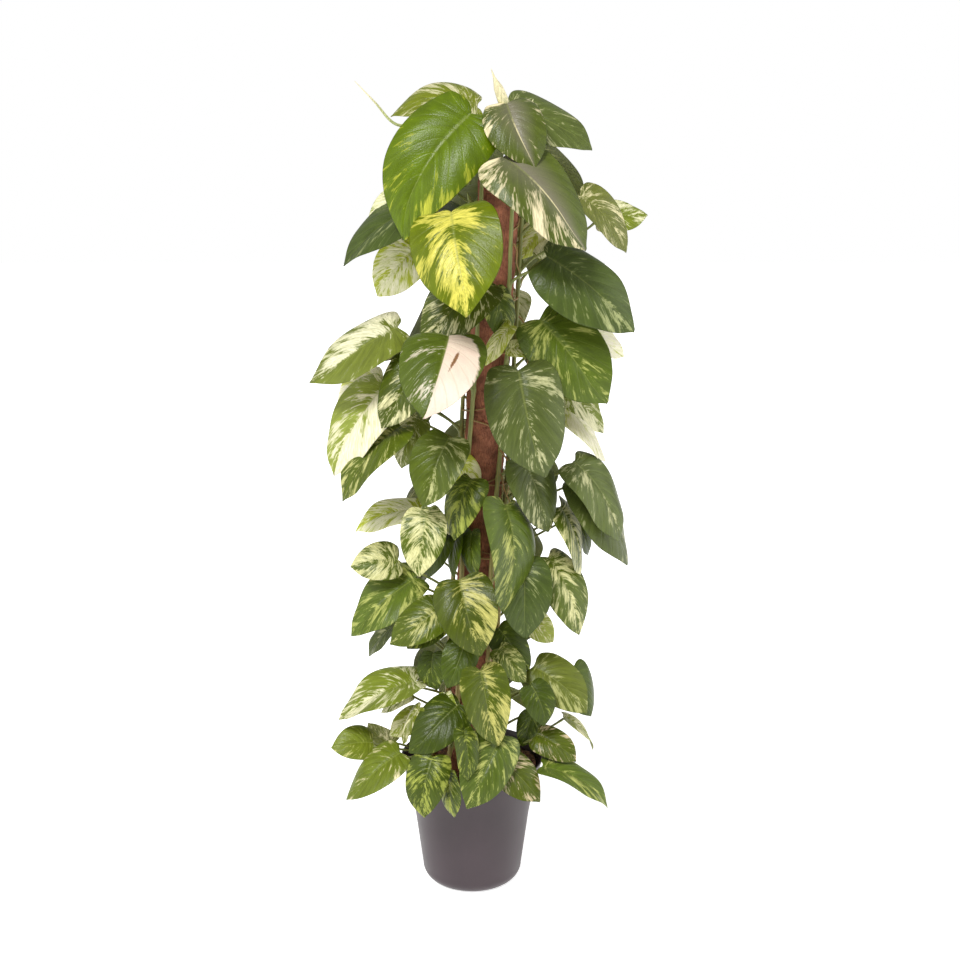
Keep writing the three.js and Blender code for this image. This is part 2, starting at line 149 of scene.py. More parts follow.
# Looks with a greyish mauve by the midrib, and those with a brown scar on a cream right half.
MAUVE_LOOKS = ["cream_edge"]
SCARRED_LOOKS = ["half_cream"]
FURTHER_LOOKS = [
    "green", "striped", "dark", "bright", "marbled", "green_painted_sheen", "moss_streaked", "plain", "streaked_right",
    "light_striped", "moss",
]

# Each leaf: joint of stalk and blade x, y, z; tip x, y, z; width; compass direction that its upper
# face looks to, in degrees (-90 is the front, 0 the right); its look.
FRONT_LEFT = [
    (0, -55, 1335, -115, -95, 1147, 155, -100, "lime"),
    (-30, -130, 1192, 0, -222, 1046, 140, -110, "gold"),
    (20, -65, 1075, -75, -110, 975, 105, -95, "dark_cream"),
    (-35, -128, 1000, -70, -232, 890, 140, -100, "half_cream"),
    (-75, -60, 955, -140, -95, 840, 92, -100, "dark_cream"),
    (-35, -100, 830, -70, -135, 720, 90, -100, "streaked_right"),
    (-35, -46, 790, 15, -52, 720, 55, -55, "fresh_pale"),
    (0, -76, 755, -30, -98, 655, 75, -125, "moss_streaked"),
    (-75, -85, 700, -90, -120, 600, 75, -105, "marbled"),
    (-70, -55, 700, -50, -60, 630, 50, -145, "marbled"),
    (-40, -60, 655, -70, -70, 580, 60, -135, "moss"),
    (-25, -50, 655, -30, -55, 575, 55, -145, "plain"),
    (0, -62, 660, 5, -74, 580, 48, -125, "moss"),
    (-20, -100, 590, 15, -145, 470, 100, -75, "yellow_right"),
    (-50, -75, 530, -135, -95, 470, 75, -120, "striped"),
    (-50, -55, 510, -105, -90, 460, 62, -105, "moss_streaked"),
    (-10, -80, 475, -40, -110, 400, 62, -105, "plain"),
    (-20, -100, 370, -100, -148, 296, 85, -110, "moss"),
    (-88, -98, 362, -114, -102, 292, 38, -160, "olive_striped"),
    (-44, -84, 380, -20, -90, 324, 40, -140, "light_striped"),
    (-65, -150, 295, -85, -170, 195, 75, -105, "moss_streaked"),
    (-40, -140, 265, -30, -150, 185, 55, -130, "moss_streaked"),
    (-12, -170, 352, -8, -192, 272, 50, -60, "moss_streaked"),
]
FRONT_RIGHT = [
    (55, -60, 1350, 100, -110, 1255, 100, -85, "cream_edge"),
    (50, -106, 1273, 170, -146, 1128, 135, -55, "cream_edge"),
    (120, -60, 1115, 260, -75, 995, 130, -50, "dark_painted_sheen"),
    (35, -52, 1060, 52, -58, 975, 60, -65, "green"),
    (62, -78, 1008, 25, -88, 942, 50, -135, "fresh_pale"),
    (75, -100, 940, 115, -135, 770, 130, -80, "green_painted_sheen"),
    (60, -60, 968, 110, -60, 958, 35, -50, "fresh"),
    (85, -45, 780, 125, -60, 655, 95, -55, "green_painted_sheen"),
    (55, -90, 715, 45, -130, 540, 130, -35, "green"),
    (85, -66, 610, 85, -90, 480, 90, -80, "dark_painted_sheen"),
    (50, -130, 327, -5, -190, 218, 95, -75, "green"),
    (35, -118, 283, 115, -152, 213, 82, -65, "olive"),
    (14, -118, 375, 28, -128, 310, 40, -75, "light_striped"),
    (15, -118, 437, 40, -160, 317, 90, -65, "yellow_right"),
    (45, -35, 480, 95, -50, 405, 62, -75, "moss"),
    (45, -68, 456, 90, -80, 396, 52, -50, "striped"),
    (100, -85, 397, 125, -95, 327, 55, -75, "moss"),
    (120, -100, 255, 235, -115, 190, 90, -15, "green"),
]
LEFT = [
    (-35, -28, 1200, -205, -48, 1095, 140, -155, "dark_painted_sheen"),
    (-72, 14, 1206, -172, 26, 1168, 66, -85, "light_striped"),
    (-85, 14, 1120, -155, 10, 1040, 85, -95, "pale"),
    (-120, -20, 995, -260, -45, 900, 120, -130, "cream_left"),
    (-95, 20, 955, -165, 30, 925, 50, -160, "ashen"),
    (-145, 20, 900, -225, 30, 835, 75, -120, "cream"),
    (-140, -20, 900, -230, -35, 750, 125, -135, "cream_right"),
    (-115, -60, 840, -210, -80, 715, 110, -140, "striped"),
    (-90, -20, 845, -120, -30, 760, 60, -130, "cream_left"),
    (-80, 10, 675, -200, 15, 640, 85, -175, "pale"),
    (-125, -10, 595, -205, -20, 580, 70, -115, "marbled"),
    (-95, -5, 560, -205, -30, 460, 105, -140, "green"),
    (-120, 15, 475, -180, 20, 405, 65, -170, "green_painted_sheen"),
    (-65, -60, 445, -60, -70, 380, 50, -115, "moss"),
    (-95, -48, 390, -225, -80, 325, 110, -155, "light_striped"),
    (-105, -10, 350, -160, -5, 310, 45, -155, "light_striped"),
    (-140, -30, 265, -180, -45, 310, 45, -110, "ashen"),
    (-90, -45, 330, -140, -60, 290, 45, -110, "fresh"),
    (-170, -60, 280, -240, -80, 275, 65, -130, "bright"),
    (-120, -110, 285, -210, -135, 205, 85, -140, "leafy"),
]
RIGHT = [
    (60, 10, 1345, 195, 0, 1278, 100, -45, "green_painted_sheen"),
    (175, 0, 1205, 250, 10, 1110, 85, -40, "ashen"),
    (205, 42, 1165, 290, 50, 1165, 60, -25, "light_striped"),
    (112, 30, 1096, 178, 50, 1128, 50, 10, "light_striped"),
    (110, -35, 1010, 215, -60, 870, 125, -75, "green"),
    (170, 30, 990, 255, 40, 930, 70, -40, "cream"),
    (150, 0, 885, 220, 10, 805, 75, -35, "light_striped"),
    (150, 32, 855, 228, 48, 745, 92, -30, "cream"),
    (170, -25, 770, 245, -35, 630, 110, -40, "green_painted_sheen"),
    (175, 15, 735, 265, 25, 570, 130, -25, "green_painted_sheen"),
    (150, -15, 690, 185, 0, 560, 95, -25, "marbled"),
    (170, 35, 660, 200, 45, 580, 60, -40, "moss"),
    (130, -14, 600, 182, -36, 465, 98, -35, "marbled"),
    (90, 15, 490, 145, 25, 435, 55, -75, "fresh"),
    (105, -35, 410, 200, -55, 335, 85, -60, "dull_striped"),
    (175, 0, 395, 205, 0, 300, 70, -55, "plain"),
    (160, 5, 300, 215, 10, 235, 60, -5, "fresh"),
    (110, -60, 295, 180, -80, 255, 60, -45, "olive"),
    (105, -30, 325, 90, -32, 258, 45, -75, "moss"),
]
BACK_LEFT = [(10, 10, 1342, -130, 30, 1334, 100, -160, "olive_striped")]
BACK_RIGHT = [
    (122, 44, 1156, 80, 52, 1094, 50, -70, "fresh_pale"),
    (180, 75, 668, 240, 88, 588, 70, -55, "ashen"),
]
# Each vine: node, direction of its stem round the pole, its top, its leaves, how many more grow by the
# rule in further_leaves and the height of the lowest of those.
VINES = [
    ("vine_front_left", -128, 1315, FRONT_LEFT, 0, 0),
    ("vine_front_right", -52, 1295, FRONT_RIGHT, 0, 0),
    ("vine_left", 172, 1180, LEFT, 0, 0),
    ("vine_right", 8, 1325, RIGHT, 0, 0),
    ("vine_back_left", 122, 1310, BACK_LEFT, 13, 345),
    ("vine_back_right", 62, 1310, BACK_RIGHT, 13, 336),
]
# Each rolled new leaf: the points that it passes after the top of its stem, and its radii.
SPEARS = {
    "vine_front_left": (
        [(-45, -30, 1325), (-118, -40, 1318), (-150, -42, 1352), (-180, -40, 1383)],
        [2.6, 2.4, 2.8, 2.0, 0.5],
    ),
    "vine_front_right": (
        [(60, -45, 1325), (50, -52, 1352), (40, -54, 1378), (31, -54, 1402)],
        [3.2, 4.2, 6.6, 9.2, 9.6, 9.0, 7.5, 2.5, 0.4],
    ),
}
# The same on the other stems: each point's steps outwards and up from the stem's top, and the radii.
BUD_WAY = [(1, 10), (4, 22), (8, 34)]
BUD_RADII = [3.4, 4.0, 4.0, 2.6, 0.4]
ROLL_LAP = 0.2  # step at a rolled leaf's outer edge, as a share of its radius
ROLL_TURN = 0.7  # how far that edge winds round the roll from foot to tip, in turns
ROLL_PALE = (1325, 1380)  # heights between which the rolled leaves turn cream
# The leaves that grow by the rule in further_leaves.
FURTHER_CLIMB = 1020  # from the lowest one's height to just over the highest one's
FURTHER_TURN = (12, 20)  # to one side of the stem and the other in turn, in degrees
FURTHER_REACH = (78, 92)  # from the pole's axis to the joint
FURTHER_SLOPE = (50, 64)  # how steeply they hang, in degrees
FURTHER_TWIST = (-32, 32)  # how far a tip turns aside
FURTHER_LENGTH = (115, 155)  # of the lowest and the highest one
FURTHER_SPREAD = 30  # how much longer than that a leaf may be
FURTHER_WIDTH = 0.64  # as a share of the length
GOLDEN = 0.61803398875  # its multiples' fractions are spread evenly from 0 to 1


def share(i):
    """A number from 0 to 1 for each whole number, without any order that shows."""
    return i * GOLDEN % 1


def between(limits, part):
    return limits[0] + (limits[1] - limits[0]) * part


def smooth(x, low, high):
    """0 below low, 1 above high and the cubic 3t^2 - 2t^3 between them."""
    t = np.clip((x - low) / (high - low), 0, 1)
    return t * t * (3 - 2 * t)


def bell(x, middle, width):
    """exp(-((x - middle) / width)^2)."""
    return np.exp(-(((x - middle) / width) ** 2))


def unit(vectors):
    return vectors / np.linalg.norm(vectors, axis=-1, keepdims=True)


# ---- Colours and nodes


def linear(hex_colour):
    """An sRGB hex colour as linear red, green, blue."""
    srgb = np.array([int(hex_colour[i : i + 2], 16) for i in (1, 3, 5)]) / 255
    curve = ((srgb + 0.055) / 1.055) ** 2.4
    return tuple(float(c) for c in np.where(srgb <= 0.04045, srgb / 12.92, curve))


def rgba(hex_colour):
    return (*linear(hex_colour), 1.0)


def plug(tree, node, inputs):
    """Gives each input of a node a value, or links it to an output."""
    for socket, value in inputs.items():
        if isinstance(value, bpy.types.NodeSocket):
            tree.links.new(value, node.inputs[socket])
        else:
            node.inputs[socket].default_value = value


COLOURS = {"data_type": "RGBA", "output": 2}  # what a Mix node needs to mix colours
SOFT = {"interpolation_type": "SMOOTHSTEP"}  # the same for a MapRange node with soft limits


def add(tree, kind, inputs=(), output=0, **settings):
    """Adds a shader node with its settings and links, and gives one of its outputs.

    inputs holds values or other nodes' outputs, either in order or by the sockets' numbers or names.
    """
    node = tree.nodes.new("ShaderNode" + kind)
    for name, value in settings.items():
        setattr(node, name, value)
    plug(tree, node, inputs if isinstance(inputs, dict) else dict(enumerate(inputs)))
    return node.outputs[output]


def new_material(name):
    """A material, its node tree and the shader that reaches its output."""
    material = bpy.data.materials.new(name)
    material.use_nodes = True
    tree = material.node_tree
    return material, tree, tree.nodes["Principled BSDF"]


def grained(tree, scale, detail, lean=0.0):
    """A rough field in the object, finer along some axes than others, its grain leant by an angle."""
    place = add(tree, "TexCoord", output="Object")
    turned = add(tree, "Mapping", {"Vector": place, "Rotation": (lean, lean, 0), "Scale": scale})
    return add(tree, "TexNoise", {"Vector": turned, "Scale": 1.0, "Detail": detail})


def finish(tree, shader, height, strength, depth, colour, **values):
    """Gives a shader its colour, a relief of so many millimetres and its values, named as its sockets."""
    relief = add(tree, "Bump", {"Height": height, "Strength": strength, "Distance": depth * MM})
    sockets = {name.replace("_", " "): value for name, value in values.items()}
    plug(tree, shader, {"Base Color": colour, "Normal": relief, **sockets})


# ---- Meshes


@lru_cache(maxsize=None)
def tube_faces(rows, sides):
    """Faces of a closed tube: quads between its rings, and triangles round the poles at its ends.

    Ring i is the points i * sides onwards, and the poles are the last two points.
    """
    ring = np.arange(rows * sides).reshape(rows, sides)
    beside = np.roll(ring, -1, axis=1)
    quads = np.stack([ring[:-1], beside[:-1], beside[1:], ring[1:]], axis=-1).reshape(-1, 4)
    start = np.stack([np.full(sides, rows * sides), beside[0], ring[0]], axis=-1)
    end = np.stack([np.full(sides, rows * sides + 1), ring[-1], beside[-1]], axis=-1)
    return quads, np.concatenate([start, end])


def tubes(rings, poles):
    """Closed tubes of one make as one set of points and faces.

    rings is (tubes, rings, points round each, 3) and poles (tubes, 2, 3).
    """
    count, rows, sides = rings.shape[:3]
    quads, fans = tube_faces(rows, sides)
    step = (np.arange(count) * (rows * sides + 2))[:, None, None]
    points = np.concatenate([rings.reshape(count, -1, 3), poles], axis=1).reshape(-1, 3)
    return points, (quads + step).reshape(-1, 4), (fans + step).reshape(-1, 3)


def joined(parts):
    """Several sets of points, quads and triangles as one."""
    starts = np.cumsum([0] + [len(points) for points, _, _ in parts])
    return (
        np.concatenate([points for points, _, _ in parts]),
        np.concatenate([quads + start for (_, quads, _), start in zip(parts, starts)]),
        np.concatenate([fans + start for (_, _, fans), start in zip(parts, starts)]),
    )


def make_piece(name, shape, material, slot, nodes=(), uv=None, **attributes):
    """Makes a piece of the plant from points in millimetres, smooth shaded, and seats it in the frame.

    uv and each attribute hold one row for each point: two numbers for uv, one or three for the others.
    """
    points, quads, fans = shape
    mesh = bpy.data.meshes.new(name)
    mesh.vertices.add(len(points))
    mesh.vertices.foreach_set("co", (points * MM).astype(np.float32).ravel())
    corners = np.concatenate([quads.ravel(), fans.ravel()]).astype(np.int32)
    sizes = np.concatenate([np.full(len(quads), 4), np.full(len(fans), 3)])
    mesh.loops.add(len(corners))
    mesh.loops.foreach_set("vertex_index", corners)
    mesh.polygons.add(len(sizes))
    mesh.polygons.foreach_set("loop_start", (np.cumsum(sizes) - sizes).astype(np.int32))
    mesh.update(calc_edges=True)
    mesh.validate()
    mesh.shade_smooth()
    if uv is not None:
        layer = mesh.uv_layers.new(name="surface")
        layer.data.foreach_set("uv", uv[corners].astype(np.float32).ravel())
    for key, values in attributes.items():
        kind, part = ("FLOAT", "value") if values.ndim == 1 else ("FLOAT_VECTOR", "vector")
        data = mesh.attributes.new(key, kind, "POINT").data
        data.foreach_set(part, values.astype(np.float32).ravel())
    mesh.materials.append(material)
    piece = bpy.data.objects.new(name, mesh)
    bpy.context.scene.collection.objects.link(piece)
    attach(piece, "root")
    if nodes:
        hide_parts(*nodes)
    return piece


def curve_through(points, at):
    """Points of a smooth curve through a list of points, at places from 0 to 1 along it.

    Between two points it is the cubic whose slopes there are those of the parabola through each point
    and its neighbours, and its pace follows the chords' lengths.
    """
    points = np.asarray(points, float)
    knots = np.concatenate([[0], np.cumsum(np.linalg.norm(np.diff(points, axis=0), axis=1))])
    knots /= knots[-1]
    slopes = np.gradient(points, knots, axis=0, edge_order=2)
    i = np.clip(np.searchsorted(knots, at, side="right") - 1, 0, len(knots) - 2)
    span = (knots[i + 1] - knots[i])[..., None]
    t = (np.asarray(at) - knots[i])[..., None] / span
    start = points[i] * (1 + 2 * t) * (1 - t) ** 2 + slopes[i] * span * t * (1 - t) ** 2
    end = points[i + 1] * t**2 * (3 - 2 * t) - slopes[i + 1] * span * t**2 * (1 - t)
    return start + end


def carried(path, radius, sides, across):
    """A round section carried along paths (tubes, rings, 3), as rings and poles.

    There is a radius for each ring, or for each of its points. A ring's point is the path's plus
    radius * (cos a * first + sin a * second), where first and second are square to the path and to each
    other, and first is square to the direction across.
    """
    radius = radius[..., None] if radius.ndim == 2 else radius
    along = unit(np.gradient(path, axis=1))
    first = unit(np.cross(along, across))
    second = np.cross(along, first)
    turn = np.arange(sides) * 2 * np.pi / sides
    spokes = first[:, :, None] * np.cos(turn)[:, None] + second[:, :, None] * np.sin(turn)[:, None]
    rings = path[:, :, None] + radius[..., None] * spokes
    reach = radius.mean(axis=-1)[:, [0, -1], None] * np.array([-0.5, 0.5])[:, None]
    ends = path[:, [0, -1]] + along[:, [0, -1]] * reach
    return rings, ends


def revolved(radii, heights, sides):
    """A surface of revolution round Z as one tube: its rings are circles, from pole to pole.

    A point is (radius * cos a, radius * sin a, height), with a the turn. radii may hold one value for
    each ring, or one for each of its points.
    """
    turn = np.arange(sides) * 2 * np.pi / sides
    radii = np.broadcast_to(radii if radii.ndim == 2 else radii[:, None], (len(heights), sides))
    level = np.broadcast_to(heights if heights.ndim == 2 else heights[:, None], radii.shape)
    return np.stack([radii * np.cos(turn), radii * np.sin(turn), level], axis=-1)[None]


def waves(x, y, lengths, seed):
    """A rough field from -1 to 1 or so: for each wavelength, four sine waves in random directions.

    The sum is over waves of sin(k . p + phase), with heights in proportion to their lengths.
    """
    rng = np.random.default_rng(seed)
    total = np.zeros(np.broadcast(x, y).shape)
    for length in lengths:
        for _ in range(4):
            heading, phase = rng.uniform(0, 2 * np.pi, 2)
            pace = 2 * np.pi / (length * rng.uniform(0.7, 1.3))
            total += length * np.sin(pace * (x * np.cos(heading) + y * np.sin(heading)) + phase)
    return total / (2.5 * sum(lengths))


# ---- The plant's rules of growth, as in the solid model


def pole_x(z):
    return POLE_FOOT + (z - POT_FLOOR) * np.tan(POLE_LEAN)


def stem_path(azimuth, z):
    """The stem's centre at each height z: its turn round the pole is the azimuth plus a slow sine.

    Its distance from the pole's axis falls from the spread at the soil to the climbing stem's orbit.
    """
    orbit = between((ROOT_SPREAD, STEM_ORBIT), smooth(z, SOIL_TOP, SOIL_TOP + ROOT_RISE))
    turn = np.radians(azimuth + STEM_SWAY * np.sin(z / SWAY_LENGTH + azimuth))
    return np.stack([pole_x(z) + orbit * np.cos(turn), orbit * np.sin(turn), z], axis=-1)


def outwards(azimuth, distance):
    turn = np.radians(azimuth)
    return np.array([distance * np.cos(turn), distance * np.sin(turn)])


def further_leaves(azimuth, count, lowest):
    """Leaves that hang outwards in turn on either side of a back stem."""
    leaves = []
    for i in range(count):
        z = lowest + FURTHER_CLIMB * i / count
        aim = azimuth + (1 if i % 2 else -1) * between(FURTHER_TURN, share(i + 1))
        twist = between(FURTHER_TWIST, share(3 * i + 15))
        length = between(FURTHER_LENGTH, i / count) + FURTHER_SPREAD * share(i + 5)
        slope = np.radians(between(FURTHER_SLOPE, share(i + 13)))
        x, y = outwards(aim, between(FURTHER_REACH, share(i + 9)))
        hang_x, hang_y = outwards(aim + twist, length * np.cos(slope))
        joint = (pole_x(z) + x, y, z)
        tip = (joint[0] + hang_x, y + hang_y, z - length * np.sin(slope))
        look = FURTHER_LOOKS[int(share(i + round(azimuth)) * len(FURTHER_LOOKS))]
        leaves.append((*joint, *tip, FURTHER_WIDTH * length, aim + twist / 2, look))
    return leaves


def leaves_of(vine):
    _, azimuth, _, listed, further, lowest = vine
    return [*listed, *further_leaves(azimuth, further, lowest)]


def leaf_frame(leaf):
    """Joint, axis to the tip, length, the upper face's normal, the direction to its right, half width."""
    joint, tip = np.array(leaf[0:3], float), np.array(leaf[3:6], float)
    length = np.linalg.norm(tip - joint)
    along = (tip - joint) / length
    looks = np.radians(leaf[7])
    up = np.array([np.cos(looks), np.sin(looks), FACE_RISE])
    up = unit(up - up.dot(along) * along)
    return joint, along, length, up, np.cross(along, up), leaf[6] / 2


def on_blade(shape, x, y, bend):
    """Points of the blade's middle surface, x across and y along it in millimetres.

    With s = y / length, the midrib bows up by 4s(1 - s) and aside by as much, and the halves rise from
    it by |x| * half / (half + |x|).
    """
    joint, along, length, up, right, half = shape
    s = y / length
    bow = 4 * s * (1 - s)
    rise = ARCH * length * bow + FOLD * np.abs(x) * half / (half + np.abs(x))
    aside = x + SIDE_BEND * bend * length * np.maximum(0, bow)
    return joint + along * y[..., None] + right * aside[..., None] + up * rise[..., None]


# ---- Settings that a user would change


class PothosPot(bpy.types.PropertyGroup):
    wall: bpy.props.FloatProperty(
        name="Wall", description="Thickness of the pot's wall",
        default=2.5 * MM, min=0.001, unit="LENGTH",
    )
    foot_round: bpy.props.FloatProperty(
        name="Foot rounding", description="Radius of the bottom edge",
        default=24 * MM, min=0.001, unit="LENGTH",
    )
    colour: bpy.props.FloatVectorProperty(
        name="Colour", description="Colour of the plastic", default=linear("#3f3338"), subtype="COLOR"
    )


class PothosGround(bpy.types.PropertyGroup):
    relief: bpy.props.FloatProperty(
        name="Relief", description="Height of the soil's hills and hollows", default=5 * MM, unit="LENGTH"
    )
    crumbs: bpy.props.IntProperty(
        name="Crumbs", description="Number of loose crumbs", default=420, min=0
    )
    colour: bpy.props.FloatVectorProperty(
        name="Colour", description="Colour of moist potting soil",
        default=linear("#6b4a37"), subtype="COLOR",
    )


class PothosPole(bpy.types.PropertyGroup):
    lumps: bpy.props.FloatProperty(
        name="Lumps", description="Height of the coir's lumps", default=1.6 * MM, unit="LENGTH"
    )
    fibres: bpy.props.IntProperty(
        name="Fibres", description="Number of loose fibres", default=3000, min=0
    )
    colour: bpy.props.FloatVectorProperty(
        name="Colour", description="Colour of the coir", default=linear("#925e48"), subtype="COLOR"
    )


class PothosVines(bpy.types.PropertyGroup):
    blade: bpy.props.FloatProperty(
        name="Blade", description="Thickness of a blade at its midrib", default=0.8 * MM, unit="LENGTH"
    )
    waviness: bpy.props.FloatProperty(
        name="Waviness", description="Height of the margins' waves, as a share of a blade's length",
        default=0.03, min=0, max=0.1, subtype="FACTOR",
    )
    stem_colour: bpy.props.FloatVectorProperty(
        name="Stems", description="Colour of the stems and stalks",
        default=linear("#869152"), subtype="COLOR",
    )
    root_colour: bpy.props.FloatVectorProperty(
        name="Roots", description="Colour of the aerial roots",
        default=linear("#ab8b59"), subtype="COLOR",
    )


class PothosStage(bpy.types.PropertyGroup):
    floor: bpy.props.FloatProperty(
        name="Floor", description="Side of the square floor", default=16.0, min=2, unit="LENGTH"
    )
    light: bpy.props.FloatProperty(
        name="Light", description="Strength of the soft lights", default=1.0, min=0, subtype="FACTOR"
    )


# ---- Pot


def pot_plastic(colour):
    """Polypropylene, injection-moulded: a satin skin with a faint orange peel and no grain."""
    material, tree, shader = new_material("polypropylene_moulded_satin")
    place = add(tree, "TexCoord", output="Object")
    # The skin's unevenness is about 3 mm across, and the cloudy change of tone about 90 mm.
    peel = add(tree, "TexNoise", {"Vector": place, "Scale": 330.0, "Detail": 2.0})
    cloud = add(tree, "TexNoise", {"Vector": place, "Scale": 11.0, "Detail": 3.0})
    tone = add(tree, "MapRange", (cloud, 0.2, 0.8, 0.9, 1.1), **SOFT)
    rough = add(tree, "MapRange", (cloud, 0.2, 0.8, 0.29, 0.37), **SOFT)
    tint = add(tree, "VectorMath", {0: colour, "Scale": tone}, operation="SCALE")
    finish(tree, shader, peel, 0.06, 0.4, tint, Roughness=rough, IOR=1.49)
    return material


def wall_radius(z):
    """The wall's radius at a height: a straight taper, and a flare that grows as a power of height."""
    open_part = np.maximum(0, (z - FLARE_START) / (POT_HEIGHT - FLARE_START))
    return WALL_AT_BASE + WALL_TAPER * z + FLARE * open_part**FLARE_POWER


def wall_profile(inset, floor, top, foot_round):
    """Radii and heights from near the axis out along a floor, round its edge and up the wall."""
    centre = wall_radius(foot_round) - foot_round
    turn = np.linspace(0, np.pi / 2, 14)
    flat = np.linspace(0.02, 1, 6)[:-1] * centre
    rise = np.linspace(floor + foot_round, top, 30)[1:]
    bend = foot_round - inset
    radii = np.concatenate([flat, centre + bend * np.sin(turn), wall_radius(rise) - inset])
    heights = np.concatenate([np.full(len(flat), floor), floor + bend * (1 - np.cos(turn)), rise])
    return radii, heights


class POTHOS_OT_pot(bpy.types.Operator):
    """Turn the pot: one smooth shell with a rounded foot, a slight flare and a round rim"""

    bl_idname = "pothos.pot"
    bl_label = "Pot"

    def execute(self, context):
        look = context.scene.pothos_pot
        wall, foot = look.wall / MM, look.foot_round / MM
        lip = wall / 2
        out_r, out_z = wall_profile(0, 0, POT_HEIGHT - lip, foot)
        in_r, in_z = wall_profile(wall, POT_FLOOR, POT_HEIGHT - lip, foot)
        turn = np.linspace(0, np.pi, 9)[1:-1]
        rim_r = wall_radius(POT_HEIGHT) - lip + lip * np.cos(turn)
        rim_z = POT_HEIGHT - lip + lip * np.sin(turn)
        radii = np.concatenate([out_r, rim_r, in_r[::-1]])
        heights = np.concatenate([out_z, rim_z, in_z[::-1]])
        poles = np.array([[[0, 0, 0], [0, 0, POT_FLOOR]]], float)
        shape = tubes(revolved(radii, heights, 144), poles)
        make_piece("pot_shell", shape, pot_plastic(look.colour), "pot_plastic", ["pot"])
        return {"FINISHED"}


# ---- Soil


def potting_soil(colour):
    """Peat and bark, moist: dark crumbs of several browns with a dull, broken surface."""
    material, tree, shader = new_material("peat_and_bark_moist")
    place = add(tree, "TexCoord", output="Object")
    # Crumbs are about 4 mm across and the peat's grain about 1 mm.
    distance, crumb, *_ = add(tree, "TexVoronoi", {"Vector": place, "Scale": 240.0}).node.outputs
    grain = add(tree, "TexNoise", {"Vector": place, "Scale": 900.0, "Detail": 4.0})
    tone = add(tree, "MapRange", (add(tree, "SeparateColor", (crumb,)), 0.0, 1.0, 0.45, 1.7))
    tint = add(tree, "VectorMath", {0: colour, "Scale": tone}, operation="SCALE")
    height = add(tree, "Math", (distance, grain), operation="SUBTRACT")
    finish(tree, shader, height, 0.8, 1.5, tint, Roughness=0.92)
    return material


LOOSE_SOIL = 9  # how much higher the loose top stands than the packed soil
SOIL_WAVES = (60, 27, 12)  # wavelengths of its hills and hollows
MOUND_X, MOUND_HEIGHT, MOUND_WIDTH = -10, 4, 60  # of the low mound round the pole
BANK_HEIGHT, BANK_WIDTH = 12, 42  # of the bank of soil against the wall
BANK_PLACE = (98, 12)
CRUMB_RADIUS = (1.5, 5.5)
CRUMB_SHAPE = (1, 0.8, 0.5)  # how much of that it has in each direction
CRUMB_LUMPS = 0.25  # how far its radius changes round it, as a share
CRUMB_RISE = 0.2  # how far its middle stands over the soil, as a share of its height


def soil_height(x, y, relief):
    """The soil's top at a place: waves, a low mound round the pole and a bank by the wall.

    The mound and the bank each fall off as exp(-(distance / width)^2).
    """
    mound = MOUND_HEIGHT * bell(np.hypot(x - MOUND_X, y), 0, MOUND_WIDTH)
    bank = BANK_HEIGHT * bell(np.hypot(x - BANK_PLACE[0], y - BANK_PLACE[1]), 0, BANK_WIDTH)
    return SOIL_TOP + LOOSE_SOIL + mound + bank + 0.5 * relief * waves(x, y, SOIL_WAVES, 3)


class POTHOS_OT_soil(bpy.types.Operator):
    """Fill the pot with soil: an uneven top, and loose crumbs of bark pressed into it"""

    bl_idname = "pothos.soil"
    bl_label = "Soil"

    def execute(self, context):
        look = context.scene.pothos_ground
        material = potting_soil(look.colour)
        relief = look.relief / MM
        foot = context.scene.pothos_pot.foot_round / MM
        inset = context.scene.pothos_pot.wall / MM + GAP
        side_r, side_z = wall_profile(inset, POT_FLOOR + GAP, SOIL_TOP - 2 * relief, foot)
        top_r = np.linspace(wall_radius(SOIL_TOP - relief) - inset, 2, 48)
        sides = 160
        turn = np.arange(sides) * 2 * np.pi / sides
        top_z = soil_height(top_r[:, None] * np.cos(turn), top_r[:, None] * np.sin(turn), relief)
        radii = np.concatenate([side_r, top_r])
        heights = np.concatenate([np.broadcast_to(side_z[:, None], (len(side_z), sides)), top_z])
        poles = np.array([[[0, 0, POT_FLOOR + GAP], [0, 0, soil_height(0, 0, relief)]]])
        bed = tubes(revolved(radii, heights, sides), poles)
        make_piece("soil_bed", bed, material, "potting_soil", ["soil"])
        make_piece("soil_crumbs", self.crumbs(look.crumbs, relief), material, "potting_soil")
        return {"FINISHED"}

    def crumbs(self, count, relief):
        """Crumbs: squashed balls whose radius changes by a few sine waves round them, half sunk in.

        A point is the centre plus (a cos u sin v, b sin u sin v, c cos v) times 1 + a share of
        sin(2u + p) sin(3v + q), turned round Z.
        """
        rng = np.random.default_rng(11)
        reach = wall_radius(SOIL_TOP) - 9
        far, turn = reach * np.sqrt(rng.uniform(0, 1, count)), rng.uniform(0, 2 * np.pi, count)
        x, y = far * np.cos(turn), far * np.sin(turn)
        sizes = rng.uniform(*CRUMB_RADIUS, (count, 3)) * np.array(CRUMB_SHAPE)
        centres = np.stack([x, y, soil_height(x, y, relief) + CRUMB_RISE * sizes[:, 2]], axis=-1)
        u = np.arange(7) * 2 * np.pi / 7
        v = (np.pi - np.linspace(0, np.pi, 6)[1:-1])[:, None]
        ball = np.stack([np.cos(u) * np.sin(v), np.sin(u) * np.sin(v), np.cos(v) + 0 * u], axis=-1)
        phase = rng.uniform(0, 2 * np.pi, (2, count, 1, 1))
        lump = 1 + CRUMB_LUMPS * np.sin(2 * u + phase[0]) * np.sin(3 * v + phase[1])
        spin = rng.uniform(0, 2 * np.pi, (count, 1, 1))
        across, along, up = np.moveaxis(ball * lump[..., None] * sizes[:, None, None], -1, 0)
        cos, sin = np.cos(spin), np.sin(spin)
        turned = np.stack([across * cos - along * sin, across * sin + along * cos, up], axis=-1)
        ends = np.zeros((count, 2, 3))
        ends[:, :, 2] = sizes[:, 2, None] * np.array([-1, 1])
        return tubes(centres[:, None, None] + turned, centres[:, None] + ends)


